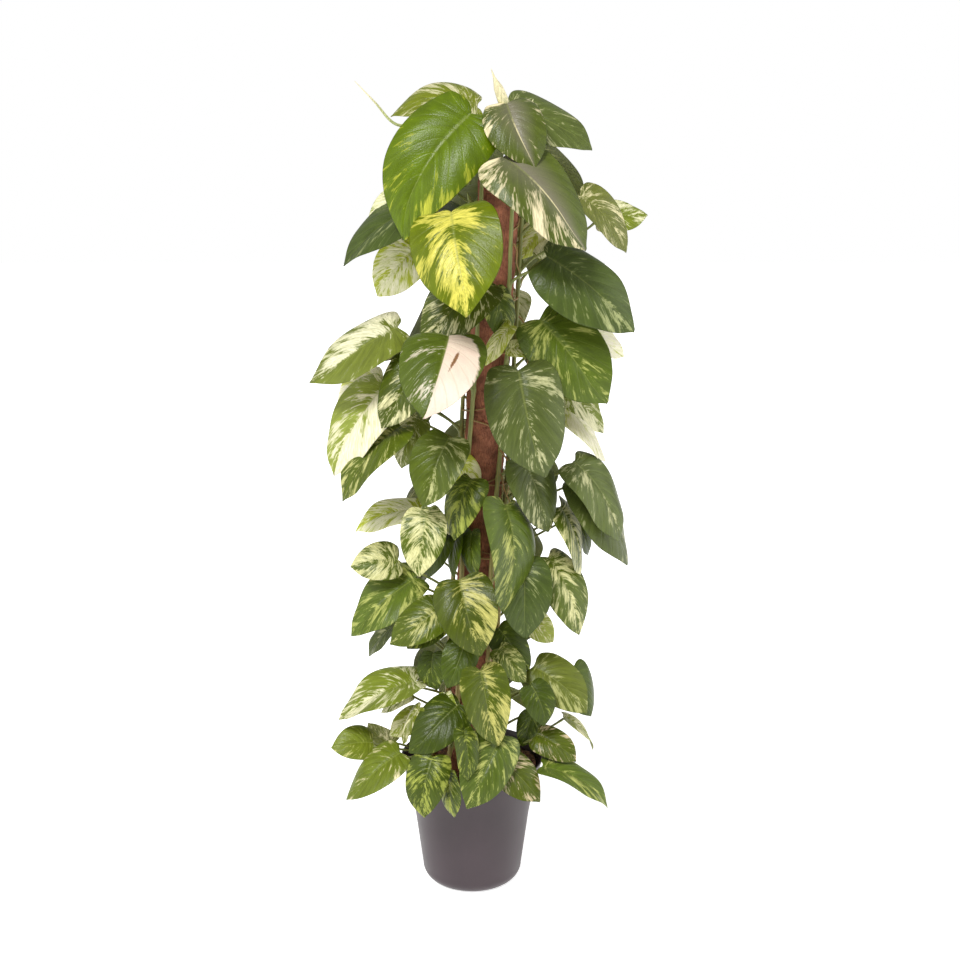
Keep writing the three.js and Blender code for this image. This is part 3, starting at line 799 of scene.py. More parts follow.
# ---- Pole


def coconut_fibre(colour):
    """Coir: coconut-husk fibre felted into a mat, red-brown, dull, with strands that cross every way."""
    material, tree, shader = new_material("coir_felted_mat")
    # Strands are 0.3 mm thick and drawn 1.4 mm thick, so that they show. Two layers lean across each
    # other, and the mat is felted more or less tightly over patches of about 22 mm.
    layers = [grained(tree, (700, 700, 140), 3.0, lean) for lean in (0.9, -0.8)]
    strands = add(tree, "Math", layers, operation="MAXIMUM")
    place = add(tree, "TexCoord", output="Object")
    patch = add(tree, "TexNoise", {"Vector": place, "Scale": 45.0, "Detail": 4.0})
    felt = add(tree, "Math", (strands, patch), operation="MULTIPLY")
    tone = add(tree, "MapRange", (felt, 0.16, 0.42, 0.6, 1.75))
    tint = add(tree, "VectorMath", {0: colour, "Scale": tone}, operation="SCALE")
    finish(tree, shader, felt, 0.9, 2.0, tint, Roughness=0.95, Specular_IOR_Level=0.25)
    return material


def sawn_pine():
    """Pine, sawn and untreated: pale, dry wood with grain along the stake."""
    material, tree, shader = new_material("pine_sawn")
    # Growth rings are about 2 mm wide.
    grain = grained(tree, (500, 500, 12), 4.0)
    tint = add(tree, "Mix", {0: grain, 6: rgba("#8d6a3f"), 7: rgba("#c9a678")}, **COLOURS)
    finish(tree, shader, grain, 0.3, 0.5, tint, Roughness=0.75)
    return material


def on_pole(radius, turn, length):
    """Points round the leaning pole, from their distance to its axis, their turn and place along it."""
    x, y = radius * np.cos(turn), radius * np.sin(turn)
    lift = POT_FLOOR + GAP + STAKE_RADIUS * np.sin(POLE_LEAN)
    sin, cos = np.sin(POLE_LEAN), np.cos(POLE_LEAN)
    leant = POLE_FOOT + x * cos + length * sin
    return np.stack([leant, y + 0 * length, lift - x * sin + length * cos], axis=-1)


COIR_WAVES = (70, 22, 9, 6)  # wavelengths of the mat's lumps
FIBRE_LENGTH = (10, 34)
FIBRE_CURL = (-5, 5)
FIBRE_LIFT = (0.2, 3.2)
FIBRE_RADIUS = (0.32, 0.12)
FIBRE_START = 200  # how far over the mat's foot the lowest fibres are, which is just under the soil


def coir_radius(turn, length, lumps):
    """The mat's outer radius: its lumps are waves over its unrolled face, and stay inside the solid."""
    return COIR_RADIUS - lumps + 0.8 * lumps * waves(COIR_RADIUS * np.sin(turn), length, COIR_WAVES, 5)


class POTHOS_OT_pole(bpy.types.Operator):
    """Wrap the stake in its coir mat, with loose fibres that stand off it"""

    bl_idname = "pothos.pole"
    bl_label = "Coir pole"

    def execute(self, context):
        look = context.scene.pothos_pole
        material = coconut_fibre(look.colour)
        lumps = look.lumps / MM
        sides = 96
        turn = np.arange(sides) * 2 * np.pi / sides
        length = np.linspace(COIR_START, COIR_END - 3, 460)[:, None]
        wall = coir_radius(turn, length, lumps)

        def ring_of(value):
            return np.full((1, sides), float(value))

        foot, head, bore = ring_of(COIR_START), ring_of(COIR_END), ring_of(STAKE_RADIUS + GAP)
        radii = np.concatenate([bore, ring_of(COIR_RADIUS - 4), wall, ring_of(COIR_RADIUS - 5), bore])
        places = np.concatenate([foot, foot, np.broadcast_to(length, wall.shape), head, head])
        points = on_pole(radii, turn, places).reshape(-1, 3)
        ring = np.arange(len(points)).reshape(-1, sides)
        after, beside = np.roll(ring, -1, axis=0), np.roll(ring, -1, axis=1)
        quads = np.stack([ring, beside, np.roll(after, -1, axis=1), after], axis=-1).reshape(-1, 4)
        mat = (points, quads, np.zeros((0, 3), int))
        make_piece("coir_mat", mat, material, "coir", ["coir_sleeve"])
        make_piece("coir_fibres", self.fibres(look.fibres, lumps), material, "coir")
        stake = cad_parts["pole_stake"]
        stake.data.materials.clear()
        stake.data.materials.append(sawn_pine())
        return {"FINISHED"}

    def fibres(self, count, lumps):
        """Loose fibres: three-sided threads that run over the mat and lift off it.

        At t from 0 to 1 a thread's turn and place move on evenly, bent by a sine, and its height over
        the mat is lift * t^2, so that one end is in the mat and the other stands free.
        """
        rng = np.random.default_rng(7)
        t = np.linspace(0, 1, 6)
        turn = rng.uniform(0, 2 * np.pi, (count, 1))
        place = rng.uniform(COIR_START + FIBRE_START, COIR_END - 20, (count, 1))
        heading = rng.uniform(0, 2 * np.pi, (count, 1))
        length = rng.uniform(*FIBRE_LENGTH, (count, 1))
        curl = rng.uniform(*FIBRE_CURL, (count, 1)) * np.sin(np.pi * t)
        over = length * t * np.cos(heading) + curl * np.sin(heading)
        on = length * t * np.sin(heading) - curl * np.cos(heading)
        around = turn + over / COIR_RADIUS
        lift = rng.uniform(*FIBRE_LIFT, (count, 1)) * t**2
        spot = place + on
        path = on_pole(coir_radius(around, spot, lumps) + lift, around, np.minimum(spot, COIR_END - 2))
        radius = np.broadcast_to(between(FIBRE_RADIUS, t), path.shape[:2])
        return tubes(*carried(path, radius, 3, (0.3, 0.2, 0.9)))


# ---- Stems, stalks and roots


def green_stem(name, colour, old_colour):
    """Living stem: a smooth green skin, paler and streaked lengthwise, browner where its age is 1."""
    material, tree, shader = new_material(name)
    # Streaks are about 1.5 mm wide and 40 mm long.
    streak = grained(tree, (650, 650, 25), 2.0)
    age = add(tree, "Attribute", output="Fac", attribute_name="age")
    worn = add(tree, "MapRange", (add(tree, "Math", (age, streak), operation="ADD"), 0.4, 1.3))
    shades = add(tree, "Mix", {0: worn, 6: (*colour, 1), 7: (*old_colour, 1)}, **COLOURS)
    tone = add(tree, "MapRange", (streak, 0.3, 0.7, 0.75, 1.2))
    tint = add(tree, "VectorMath", {0: shades, "Scale": tone}, operation="SCALE")
    finish(tree, shader, streak, 0.25, 0.6, tint, Roughness=0.45, IOR=1.45)
    return material


def stalk_paths(vine, at):
    """Middle lines of a vine's leaf stalks: a cubic Bezier curve from the stem to under each blade.

    Its ends leave and arrive along the directions that the solid model's stalks have.
    """
    _, azimuth, top, *_ = vine
    paths = []
    for i, leaf in enumerate(leaves_of(vine)):
        shape = leaf_frame(leaf)
        joint, _, length, up, _, _ = shape
        near = stem_path(azimuth, joint[2])
        drop = STALK_DROP + STALK_SLOPE * np.hypot(*(joint - near)[:2])
        low = np.clip(joint[2] - drop, SOIL_TOP + STALK_DROP, top - STEM_TIP_RADIUS)
        start = stem_path(azimuth, low)
        end = on_blade(shape, np.zeros(1), np.array([STALK_LAP * length]), 1 - 2 * share(i))[0]
        end = end - up * STALK_TIP_RADIUS / 2
        away = unit((joint - start) * np.array([1, 1, 0]))
        leaving = STALK_OUT * away + np.array([0, 0, STALK_UP])
        arriving = unit(STALK_OUT * away + np.array([0, 0, 0.5]) + 0.5 * up)
        pull = STALK_PULL * np.linalg.norm(end - start)
        controls = [start, start + leaving * pull, end - arriving * pull, end]
        weights = [(1 - at) ** 3, 3 * at * (1 - at) ** 2, 3 * at**2 * (1 - at), at**3]
        paths.append(sum(np.outer(w, c) for w, c in zip(weights, controls)))
    return np.array(paths)


STEM_SLIM = 0.94  # a stem's radius between its joints, as a share of its solid's
JOINT_SWELL, JOINT_LENGTH = 0.28, 4  # the swelling at a joint, as such a share, and half its length
STEM_WAVES = 0.04  # height of its faint waves, as such a share
STEM_AGE = (250, 1000)  # heights between which its bark turns green
# The same for a stalk, by places from 0 to 1 along it: at its sheath, and where it turns into the blade.
SHEATH_SWELL, SHEATH_LENGTH = 0.5, 0.08
NECK_SWELL, NECK_PLACE, NECK_LENGTH = 0.3, 0.94, 0.05


class POTHOS_OT_stems(bpy.types.Operator):
    """Grow the stems up the pole, with a joint at each leaf, and the stalk of every leaf"""

    bl_idname = "pothos.stems"
    bl_label = "Stems and stalks"

    def execute(self, context):
        look = context.scene.pothos_vines
        material = green_stem("pothos_stem_living", look.stem_colour, linear("#ab9a5c"))
        at = np.linspace(0, 1, 16)
        for vine in VINES:
            name, azimuth, top, *_ = vine
            paths = stalk_paths(vine, at)
            z = np.linspace(SOIL_TOP - ROOT_DEPTH, top, 260)
            swell = JOINT_SWELL * bell(z[:, None], paths[:, 0, 2], JOINT_LENGTH).max(axis=1)
            radius = between((STEM_RADIUS, STEM_TIP_RADIUS), (z - z[0]) / (z[-1] - z[0]))
            radius = radius * (STEM_SLIM + swell + STEM_WAVES * np.sin(z / 7))
            trunk = tubes(*carried(stem_path(azimuth, z)[None], radius[None], 14, (0.4, 0.9, 0)))
            swell = SHEATH_SWELL * bell(at, 0, SHEATH_LENGTH)
            swell = swell + NECK_SWELL * bell(at, NECK_PLACE, NECK_LENGTH)
            slim = between((STALK_RADIUS, STALK_TIP_RADIUS), at) * (1 + swell)
            stalks = tubes(*carried(paths, np.broadcast_to(slim, paths.shape[:2]), 8, (0.2, 0.1, 1)))
            shape = joined([trunk, stalks])
            age = np.zeros(len(shape[0]))
            age[: len(trunk[0])] = 1 - smooth(trunk[0][:, 2], *STEM_AGE)
            make_piece(name + "_stems", shape, material, "leaf", [name], age=age)
        return {"FINISHED"}


# Where loose roots leave the stems: direction round the pole in degrees, and height.
LOOSE_ROOTS = [
    (8, 838), (8, 800), (8, 782), (8, 760), (-52, 792), (-52, 752), (8, 1010), (8, 560), (-52, 1130),
    (122, 700), (62, 930), (62, 520), (122, 1080),
]
LOOSE_REACH, LOOSE_LENGTH = (12, 34), (45, 90)  # how far they stand out, and how far they hang
ROOT_STEP = 110  # heights between the roots that cling to the mat
ROOT_LENGTH = (40, 95)
ROOT_FALL = (-0.6, 1.1)  # how far they sink on their way, as a share of half their length
ROOT_RADIUS = (1.8, 0.6)


class POTHOS_OT_roots(bpy.types.Operator):
    """Let aerial roots out of the stems, to cling to the coir"""

    bl_idname = "pothos.roots"
    bl_label = "Aerial roots"

    def execute(self, context):
        colour = context.scene.pothos_vines.root_colour
        material = green_stem("aerial_root_dry", colour, linear("#7a5733"))
        rng = np.random.default_rng(23)
        t = np.linspace(0, 1, 22)
        paths = []
        for _, azimuth, top, *_ in VINES:
            for z in np.arange(SOIL_TOP + 90, top - 60, ROOT_STEP):
                start = z + rng.uniform(-20, 20)
                side = rng.choice([-1, 1])
                length, fall = rng.uniform(*ROOT_LENGTH), rng.uniform(*ROOT_FALL)
                paths.append(self.root(azimuth, start, side, length, fall, t, rng))
        for azimuth, z in LOOSE_ROOTS:
            reach, length = rng.uniform(*LOOSE_REACH), rng.uniform(*LOOSE_LENGTH)
            paths.append(self.loose_root(azimuth + rng.uniform(-9, 9), z, reach, length, t, rng))
        path = np.array(paths)
        radius = np.broadcast_to(between(ROOT_RADIUS, t), path.shape[:2])
        shape = tubes(*carried(path, radius, 6, (0.3, 0.2, 0.9)))
        make_piece("aerial_roots", shape, material, "leaf", age=np.zeros(len(shape[0])))
        return {"FINISHED"}

    def root(self, azimuth, z, side, length, fall, t, rng):
        """A root's middle line: it leaves the stem and winds round the coir, falling as it goes.

        At t from 0 to 1 its turn round the pole moves on by length / radius, with a small sine, and its
        distance from the axis drops from the stem's to just over the mat.
        """
        start = stem_path(azimuth, np.array(z))
        turn0 = np.arctan2(start[1], start[0] - pole_x(z))
        turn = turn0 + side * (length * t + 3 * np.sin(7 * t + rng.uniform(0, 6))) / STEM_ORBIT
        distance = COIR_RADIUS + 0.8 + (STEM_ORBIT - COIR_RADIUS - 1) * (1 - smooth(t, 0, 0.25))
        fallen = z - fall * length * 0.5 * t**1.3 + 2 * np.sin(5 * t + rng.uniform(0, 6)) * t
        x = pole_x(fallen) + distance * np.cos(turn)
        return np.stack([x, distance * np.sin(turn), fallen], axis=-1)

    def loose_root(self, azimuth, z, reach, length, t, rng):
        """A loose root's middle line: it arches out from the stem and hangs free, with a few bends.

        At t from 0 to 1 it moves out by reach * sin(2.2t) and down by length * t^1.6, and swings aside
        by sines of t that grow with it.
        """
        start = stem_path(azimuth, np.array(float(z)))
        out = reach * np.sin(2.2 * t) + 3 * t * np.sin(11 * t + rng.uniform(0, 6))
        aside = 7 * t * np.sin(8 * t + rng.uniform(0, 6))
        cos, sin = outwards(azimuth, 1)
        x, y = start[0] + out * cos - aside * sin, start[1] + out * sin + aside * cos
        return np.stack([x, y, start[2] - length * t**1.6], axis=-1)


# ---- Leaves

BLADE_ROWS = 48
BLADE_STEPS = 12  # from the midrib to the margin
LAST_STEP = 0.985  # where the outermost one starts. It is narrow, so that the margin is crisp
VEIN_CROWD = 3.1  # how much the side veins crowd towards the joint
VEIN_CURVE = 1.5  # how much they bend towards the tip on their way out
VEINS = 11  # pairs of side veins
# What a soft blade has beyond its solid: a value, or the limits of a random one for each blade or half.
SOFT_ARCH = 0.035  # more bow, as a share of the length
LOBE_SHIFT = (-0.02, 0.03)  # of the outline near the joint, as a share of the length
HALF_SPREAD = (0.93, 1.04)  # width of a half, as a share of its solid's
MARGIN_WAVES = (1.2, 2.6)
CURL = (0, 0.4)  # fall of a margin, as a share of half the width
TILT = (-0.05, 0.2)  # rise of a half, as a share of the way out
TWIST = (-0.22, 0.22)  # the same at the tip, to one side
DROOP, DROOP_START = (-0.035, 0.03), 0.6  # rise of the tip, and where on the length it starts
HOOK, HOOK_START = (-0.07, 0.07), 0.7  # the same for its bend aside
FURROW_DEPTH = 0.55  # on a side vein, in millimetres
GROOVE_DEPTH, GROOVE_WIDTH = 1.3, 2.2  # on the midrib


def towards_tip(s, start):
    """The square of the way from a place on the blade to its tip, and 0 before that place."""
    return np.maximum(0, (s - start) / (1 - start)) ** 2


def blade(leaf, index, thickness, waviness):
    """One blade as the rings and poles of a flattened closed tube, with its place on the leaf.

    Row t runs along a pair of side veins: from the midrib at t^3.1 of the length out to the outline's
    point at t, so that at r from 0 to 1 on the way x is r times the outline's and y goes from the
    midrib's to the outline's as r^1.5. The ring goes out and back over the upper face and returns
    over the lower one, with a thickness of 1 - r^4. To the solid model's bows are added, all along
    the upper face's normal: a groove on the midrib, a furrow on each side vein, margins that curl
    down as r^2.5 and wave, halves that tilt up, a twist that grows as the square of the way to the
    tip, and a drooping tip.
    """
    rng = np.random.default_rng(index)
    shape = leaf_frame(leaf)
    _, _, length, up, right, half = shape
    bend = 1 - 2 * share(index % 100)
    t = np.linspace(0, 1, BLADE_ROWS + 2)[1:-1, None]
    out = np.concatenate([[-1], np.linspace(-LAST_STEP, LAST_STEP, 2 * BLADE_STEPS - 1), [1]])
    signed = np.concatenate([out, out[::-1][1:-1]])
    upper = np.concatenate([np.ones(len(out)), -np.ones(len(out) - 2)])
    r = np.abs(signed)
    one_half = (signed < 0)[None, :]
    edges = []
    for _ in range(2):
        line = OUTLINE.copy()
        line[1:4, 1] += rng.uniform(*LOBE_SHIFT)
        line[1:8, 0] *= rng.uniform(*HALF_SPREAD)
        edges.append(curve_through(line, t[:, 0]))
    edge = np.where(one_half[..., None], edges[0][:, None], edges[1][:, None])
    root = t**VEIN_CROWD
    x = signed * edge[..., 0] * half
    y = (root + (edge[..., 1] - root) * r**VEIN_CURVE) * length
    s = y / length
    outer = edge[..., 0] * r**2.5
    phase = np.where(one_half, *rng.uniform(0, 2 * np.pi, 2))
    wave = waviness * length * outer * np.sin(2 * np.pi * rng.uniform(*MARGIN_WAVES) * t + phase)
    curl = -half * outer * np.where(one_half, rng.uniform(*CURL), rng.uniform(*CURL))
    tilt = np.abs(x) * np.where(one_half, rng.uniform(*TILT), rng.uniform(*TILT))
    vein = (0.5 + 0.5 * np.cos(2 * np.pi * VEINS * t)) ** 3 * np.sin(np.pi * np.minimum(r * 1.05, 1))
    furrow = -FURROW_DEPTH * vein * smooth(t, 0.1, 0.3)
    groove = -GROOVE_DEPTH * bell(x, 0, GROOVE_WIDTH) * (1 - smooth(t, 0.75, 1))
    twist = rng.uniform(*TWIST) * x * np.maximum(0, s) ** 2
    arch = SOFT_ARCH * length * 4 * s * (1 - s)
    droop = rng.uniform(*DROOP) * length * towards_tip(s, DROOP_START)
    hook = rng.uniform(*HOOK) * length * towards_tip(s, HOOK_START)
    skin = upper * thickness / 2 * (1 - r**4) * np.sin(np.pi * t) ** 0.3
    rise = wave + curl + tilt + furrow + groove + twist + arch + droop + skin
    rings = on_blade(shape, x, y, bend) + up * rise[..., None] + right * hook[..., None]
    ends = on_blade(shape, np.zeros(2), np.array([0, length]), bend)
    ends[0] += up * groove[0, BLADE_STEPS]
    last = on_blade(shape, x[-1, :1], y[-1, :1], bend)[0]
    ends[1] = (rings[-1, 0] + rings[-1, 2 * BLADE_STEPS]) / 2 + (ends[1] - last) * 0.6
    uv = np.stack(np.broadcast_arrays(0.5 + 0.5 * signed, t), axis=-1)
    under = np.broadcast_to((upper < 0) & (r < 1), x.shape)
    uv = np.concatenate([uv.reshape(-1, 2), [[0.5, 0], [0.5, 1]]])
    return rings, ends, uv, np.concatenate([under.ravel(), [0, 0]])


# The fields that a leaf's marks are made of: how fast each changes from vein to vein and out along
# them, its detail, how far it moves on from leaf to leaf, and its weight.
MARK_FIELDS = [
    (5.0, 0.9, 1.0, 71.0, 0.34),  # patches about 25 mm wide on a leaf of 140 mm
    (25.0, 1.9, 3.0, 37.0, 0.42),  # streaks of 5 mm
    (90.0, 5.0, 2.0, 13.0, 0.24),  # flecks of 1 mm
]
SHARE_WEIGHT = 0.24
FRINGE, FULL_MARK = (0.6, 0.63), (0.632, 0.665)  # where a mark's fringe and full colour set in
SCAR_PLACE = (-0.36, 0.645)  # of the scar's middle: across the right half, and the vein that it is on
SCAR_SIZE = (0.05, 0.1)  # half its width and length, in the same shares


def leaf_facts(tree):
    """What the leaf's material reads at each point of a blade.

    row goes from 0 at the joint to 1 at the tip, and is the same all along a side vein. signed is 1 at
    the left margin of the hanging leaf as it is looked at, 0 at the midrib and -1 at the right margin,
    and reach is that without its sign.
    """
    def read(name, output):
        return add(tree, "Attribute", output=output, attribute_name=name)

    def parts(vector):
        return add(tree, "SeparateXYZ", (vector,)).node.outputs

    across, row, _ = parts(add(tree, "UVMap", output="UV", uv_map="surface"))
    signed = add(tree, "Math", (across, 2.0, -1.0), operation="MULTIPLY_ADD")
    amount, side, seed = parts(read("facts", "Vector"))
    edge, mauve, scarred = parts(read("places", "Vector"))
    return SimpleNamespace(
        row=row, signed=signed, reach=add(tree, "Math", (signed,), operation="ABSOLUTE"), seed=seed,
        green=read("green", "Color"), marks=read("marks", "Color"), amount=amount, side=side, edge=edge,
        mauve=mauve, scarred=scarred, under=read("underside", "Fac"),
    )


def mark_fields(tree, leaf):
    """Rough fields of about 0.5 over a leaf, all drawn out along its side veins."""
    fields = []
    for across, out, detail, shift, _ in MARK_FIELDS:
        pairs = [(leaf.row, across), (leaf.signed, out), (leaf.seed, shift)]
        scaled = [add(tree, "Math", pair, operation="MULTIPLY") for pair in pairs]
        place = add(tree, "CombineXYZ", scaled)
        rough = {"Scale": 1.0, "Detail": detail, "Roughness": 0.6, "Distortion": 0.15}
        fields.append(add(tree, "TexNoise", {"Vector": place, **rough}))
    return fields


def streaked(tree, leaf, fields):
    """A leaf's green with its marks, which come in two steps: a yellow-green fringe, and their colour.

    The marks are where a sum is over a limit. It is the fields' weighted sum, about 0.5 give or take
    0.07, moved by what the look asks for: its share of marks, its marked half and its marked margin.
    """
    half = add(tree, "MapRange", (leaf.signed, -0.12, 0.12, -0.11, 0.11))
    rim = add(tree, "MapRange", (leaf.reach, 0.3, 1.0, -0.05, 0.1))
    terms = [(field, weight) for field, (*_, weight) in zip(fields, MARK_FIELDS)]
    terms += [(half, leaf.side), (rim, leaf.edge), (leaf.amount, SHARE_WEIGHT)]
    total = 0.0
    for value, weight in terms:
        total = add(tree, "Math", (value, weight, total), operation="MULTIPLY_ADD")
    fringe, full = (add(tree, "MapRange", (total, *limits), **SOFT) for limits in (FRINGE, FULL_MARK))
    tone = add(tree, "MapRange", (fields[1], 0.35, 0.65, 0.82, 1.2))
    ground = add(tree, "VectorMath", {0: leaf.green, "Scale": tone}, operation="SCALE")
    light = add(tree, "Mix", {0: 0.42, 6: leaf.green, 7: leaf.marks}, **COLOURS)
    fringed = add(tree, "Mix", {0: fringe, 6: ground, 7: light}, **COLOURS)
    faded = add(tree, "MapRange", (fields[2], 0.42, 0.6, 1.0, 0.35))
    full = add(tree, "Math", (full, faded), operation="MULTIPLY")
    return add(tree, "Mix", {0: full, 6: fringed, 7: leaf.marks}, **COLOURS)


def mauve_part(tree, leaf, torn):
    """A greyish mauve that fades from the midrib to the margins, more strongly in the right half.

    Such a leaf also has a cream patch by its joint and a cream midrib further on. Both parts come as
    shares from 0 to 1.
    """
    near = add(tree, "MapRange", (leaf.reach, 0.05, 0.75, 0.9, 0.0))
    right = add(tree, "MapRange", (leaf.signed, -0.05, 0.05, 1.0, 0.6))
    patch = add(tree, "MapRange", (torn, 0.4, 0.48, 1.0, 0.0))
    left = add(tree, "MapRange", (leaf.signed, 0.25, 0.45))
    midrib = add(tree, "MapRange", (leaf.reach, 0.015, 0.05, 1.0, 0.0))
    far = add(tree, "MapRange", (torn, 0.78, 0.92))
    near = add(tree, "Math", (near, right), operation="MULTIPLY")
    patch = add(tree, "Math", (patch, left), operation="MULTIPLY")
    cream = add(tree, "Math", (midrib, far, patch), operation="MULTIPLY_ADD", use_clamp=True)
    return [add(tree, "Math", (part, leaf.mauve), operation="MULTIPLY") for part in (near, cream)]


def scarred_part(tree, leaf, fields, torn):
    """A cream right half, but for a green margin that narrows from the joint on, and a brown scar.

    Both come as shares from 0 to 1. The scar is an ellipse with a ragged edge: its middle is at 0, and
    its rim at 1.
    """
    inner = add(tree, "Math", (torn, -1.13, leaf.reach), operation="MULTIPLY_ADD")
    wash = add(tree, "MapRange", (inner, 0.1, 0.17, 1.0, 0.0))
    right = add(tree, "MapRange", (leaf.signed, -0.035, -0.005, 1.0, 0.0))
    wash = add(tree, "Math", (wash, right), operation="MULTIPLY")
    spot = add(tree, "CombineXYZ", (leaf.signed, leaf.row))
    spot = add(tree, "VectorMath", (spot, (*SCAR_PLACE, 0)), operation="SUBTRACT")
    spot = add(tree, "VectorMath", (spot, (*SCAR_SIZE, 1)), operation="DIVIDE")
    spot = add(tree, "VectorMath", (spot,), "Value", operation="LENGTH")
    ragged = add(tree, "Math", (fields[2], 1.2, spot), operation="MULTIPLY_ADD")
    scar = add(tree, "MapRange", (ragged, 1.2, 1.7, 1.0, 0.0))
    return [add(tree, "Math", (part, leaf.scarred), operation="MULTIPLY") for part in (wash, scar)]


def pothos_leaf():
    """Living pothos leaf: a waxy, satin upper skin whose green breaks up into streaks of yellow and cream
    along the side veins, a paler midrib, and a duller, greyer underside."""
    material, tree, shader = new_material("pothos_leaf_living")
    leaf = leaf_facts(tree)
    fields = mark_fields(tree, leaf)
    torn = add(tree, "Math", (fields[1], 0.3, leaf.row), operation="MULTIPLY_ADD")
    mauve, cream = mauve_part(tree, leaf, torn)
    wash, scar = scarred_part(tree, leaf, fields, torn)
    wave = add(tree, "Math", (leaf.row, float(VEINS)), operation="MULTIPLY")
    wave = add(tree, "Math", (wave, 0.5), operation="PINGPONG")
    vein = add(tree, "MapRange", (wave, 0.0, 0.08, 1.0, 0.0))
    faint = add(tree, "Math", (vein, 0.1), operation="MULTIPLY")
    # The midrib is a pale line about 2 mm wide, and the side veins are faint.
    midrib = add(tree, "MapRange", (leaf.reach, 0.0, 0.05, 0.5, 0.0))
    pale = add(tree, "Mix", {0: 0.4, 6: leaf.green, 7: rgba("#b9c06c")}, **COLOURS)
    blush = add(tree, "Mix", {0: fields[1], 6: leaf.marks, 7: rgba("#e4c5b4")}, **COLOURS)
    colour = streaked(tree, leaf, fields)
    layers = [
        (mauve, rgba("#817b68")), (cream, leaf.marks), (wash, blush), (scar, rgba("#85603f")),
        (midrib, pale), (faint, pale),
    ]
    for part, over in layers:
        colour = add(tree, "Mix", {0: part, 6: colour, 7: over}, **COLOURS)
    dull = add(tree, "Mix", {0: 0.25, 6: colour, 7: rgba("#a2a36c")}, **COLOURS)
    colour = add(tree, "Mix", {0: leaf.under, 6: colour, 7: dull}, **COLOURS)
    # The relief: a furrow on each side vein, finer ones between them, and the skin's own of about 2 mm.
    place = add(tree, "TexCoord", output="Object")
    height = add(tree, "TexNoise", {"Vector": place, "Scale": 450.0, "Detail": 2.0})
    for value, weight in ((vein, -0.6), (fields[1], 1.6)):
        height = add(tree, "Math", (value, weight, height), operation="MULTIPLY_ADD")
    rough = add(tree, "MapRange", (leaf.under, 0.0, 1.0, 0.3, 0.6))
    finish(tree, shader, height, 0.45, 1.1, colour, Roughness=rough, IOR=1.42, Specular_IOR_Level=0.36)
    return material


class POTHOS_OT_leaves(bpy.types.Operator):
    """Open the leaves: heart-shaped blades on the stalks, each streaked in its own way"""

    bl_idname = "pothos.leaves"
    bl_label = "Leaves"

    def execute(self, context):
        look = context.scene.pothos_vines
        material = pothos_leaf()
        thickness = look.blade / MM
        for number, vine in enumerate(VINES):
            made, facts, greens, marks, places = [], [], [], [], []
            for i, leaf in enumerate(leaves_of(vine)):
                rings, ends, uv, under = blade(leaf, 100 * number + i, thickness, look.waviness)
                green, mark, amount, side, margin = LOOKS[leaf[8]]
                made.append((rings, ends, uv, under))
                rng = np.random.default_rng(900 + 100 * number + i)
                greens.append(np.array(linear(green)) * rng.uniform(0.85, 1.15))
                marks.append(linear(mark))
                facts.append((amount, -side, rng.uniform(0, 1)))
                places.append((margin, leaf[8] in MAUVE_LOOKS, leaf[8] in SCARRED_LOOKS))
            rings, ends, uv, under = (np.array(part) for part in zip(*made))
            each = uv.shape[1]
            make_piece(
                vine[0] + "_leaves", tubes(rings, ends), material, "leaf", [vine[0]],
                uv=uv.reshape(-1, 2), underside=under.reshape(-1).astype(float),
                green=np.repeat(greens, each, axis=0), marks=np.repeat(marks, each, axis=0),
                facts=np.repeat(facts, each, axis=0), places=np.repeat(places, each, axis=0),
            )
        return {"FINISHED"}


class POTHOS_OT_spears(bpy.types.Operator):
    """Add the new leaves that are still rolled up, at the tops of the stems"""

    bl_idname = "pothos.spears"
    bl_label = "Rolled new leaves"

    def execute(self, context):
        material = green_stem("pothos_new_leaf_rolled", linear("#9fac66"), linear("#e6dcb0"))
        t = np.linspace(0, 1, 60)
        sides = 28
        # The section is a spiral: its radius grows once round and drops at the leaf's outer edge.
        wound = (np.arange(sides) / sides - ROLL_TURN * t[:, None]) % 1
        made = []
        for name, azimuth, top, *_ in VINES:
            foot = stem_path(azimuth, np.array(top - STEM_RADIUS))
            points, radii = SPEARS.get(name) or self.bud(azimuth, foot)
            path = curve_through([foot, *points], t)
            radius = np.interp(t, np.linspace(0, 1, len(radii)), radii)[:, None] * (1 - ROLL_LAP * wound)
            made.append(tubes(*carried(path[None], radius[None], sides, (0.2, 1, 0.1))))
        shape = joined(made)
        age = smooth(shape[0][:, 2], *ROLL_PALE)
        make_piece("rolled_leaves", shape, material, "leaf", age=age)
        return {"FINISHED"}

    def bud(self, azimuth, foot):
        """The points and radii of a short rolled leaf that carries a stem on, a little outwards."""
        return [foot + np.array([*outwards(azimuth, out), up]) for out, up in BUD_WAY], BUD_RADII


# ---- Stage


FLOOR_LIGHT, FLOOR_SEEN = 0.3, 0.72  # how brightly the floor lights the plant, and is seen
ROOM_LIGHT, ROOM_SEEN = 0.35, 1.0  # the same of the room


def lit_floor():
    """Opal acrylic lit from below, as under product shots: an even, pale ground with faint shadows."""
    material, tree, shader = new_material("opal_acrylic_lit")
    # Its tone changes over about 0.5 m.
    place = add(tree, "TexCoord", output="Object")
    cloud = add(tree, "TexNoise", {"Vector": place, "Scale": 2.0, "Detail": 2.0})
    tint = add(tree, "Mix", {0: cloud, 6: rgba("#f4f4f3"), 7: rgba("#f8f8f7")}, **COLOURS)
    seen = add(tree, "LightPath", output="Is Camera Ray")
    glow = add(tree, "MapRange", (seen, 0.0, 1.0, FLOOR_LIGHT, FLOOR_SEEN))
    white = {"Emission Color": (1, 1, 1, 1), "Emission Strength": glow}
    plug(tree, shader, {"Base Color": tint, "Roughness": 0.9, **white})
    return material


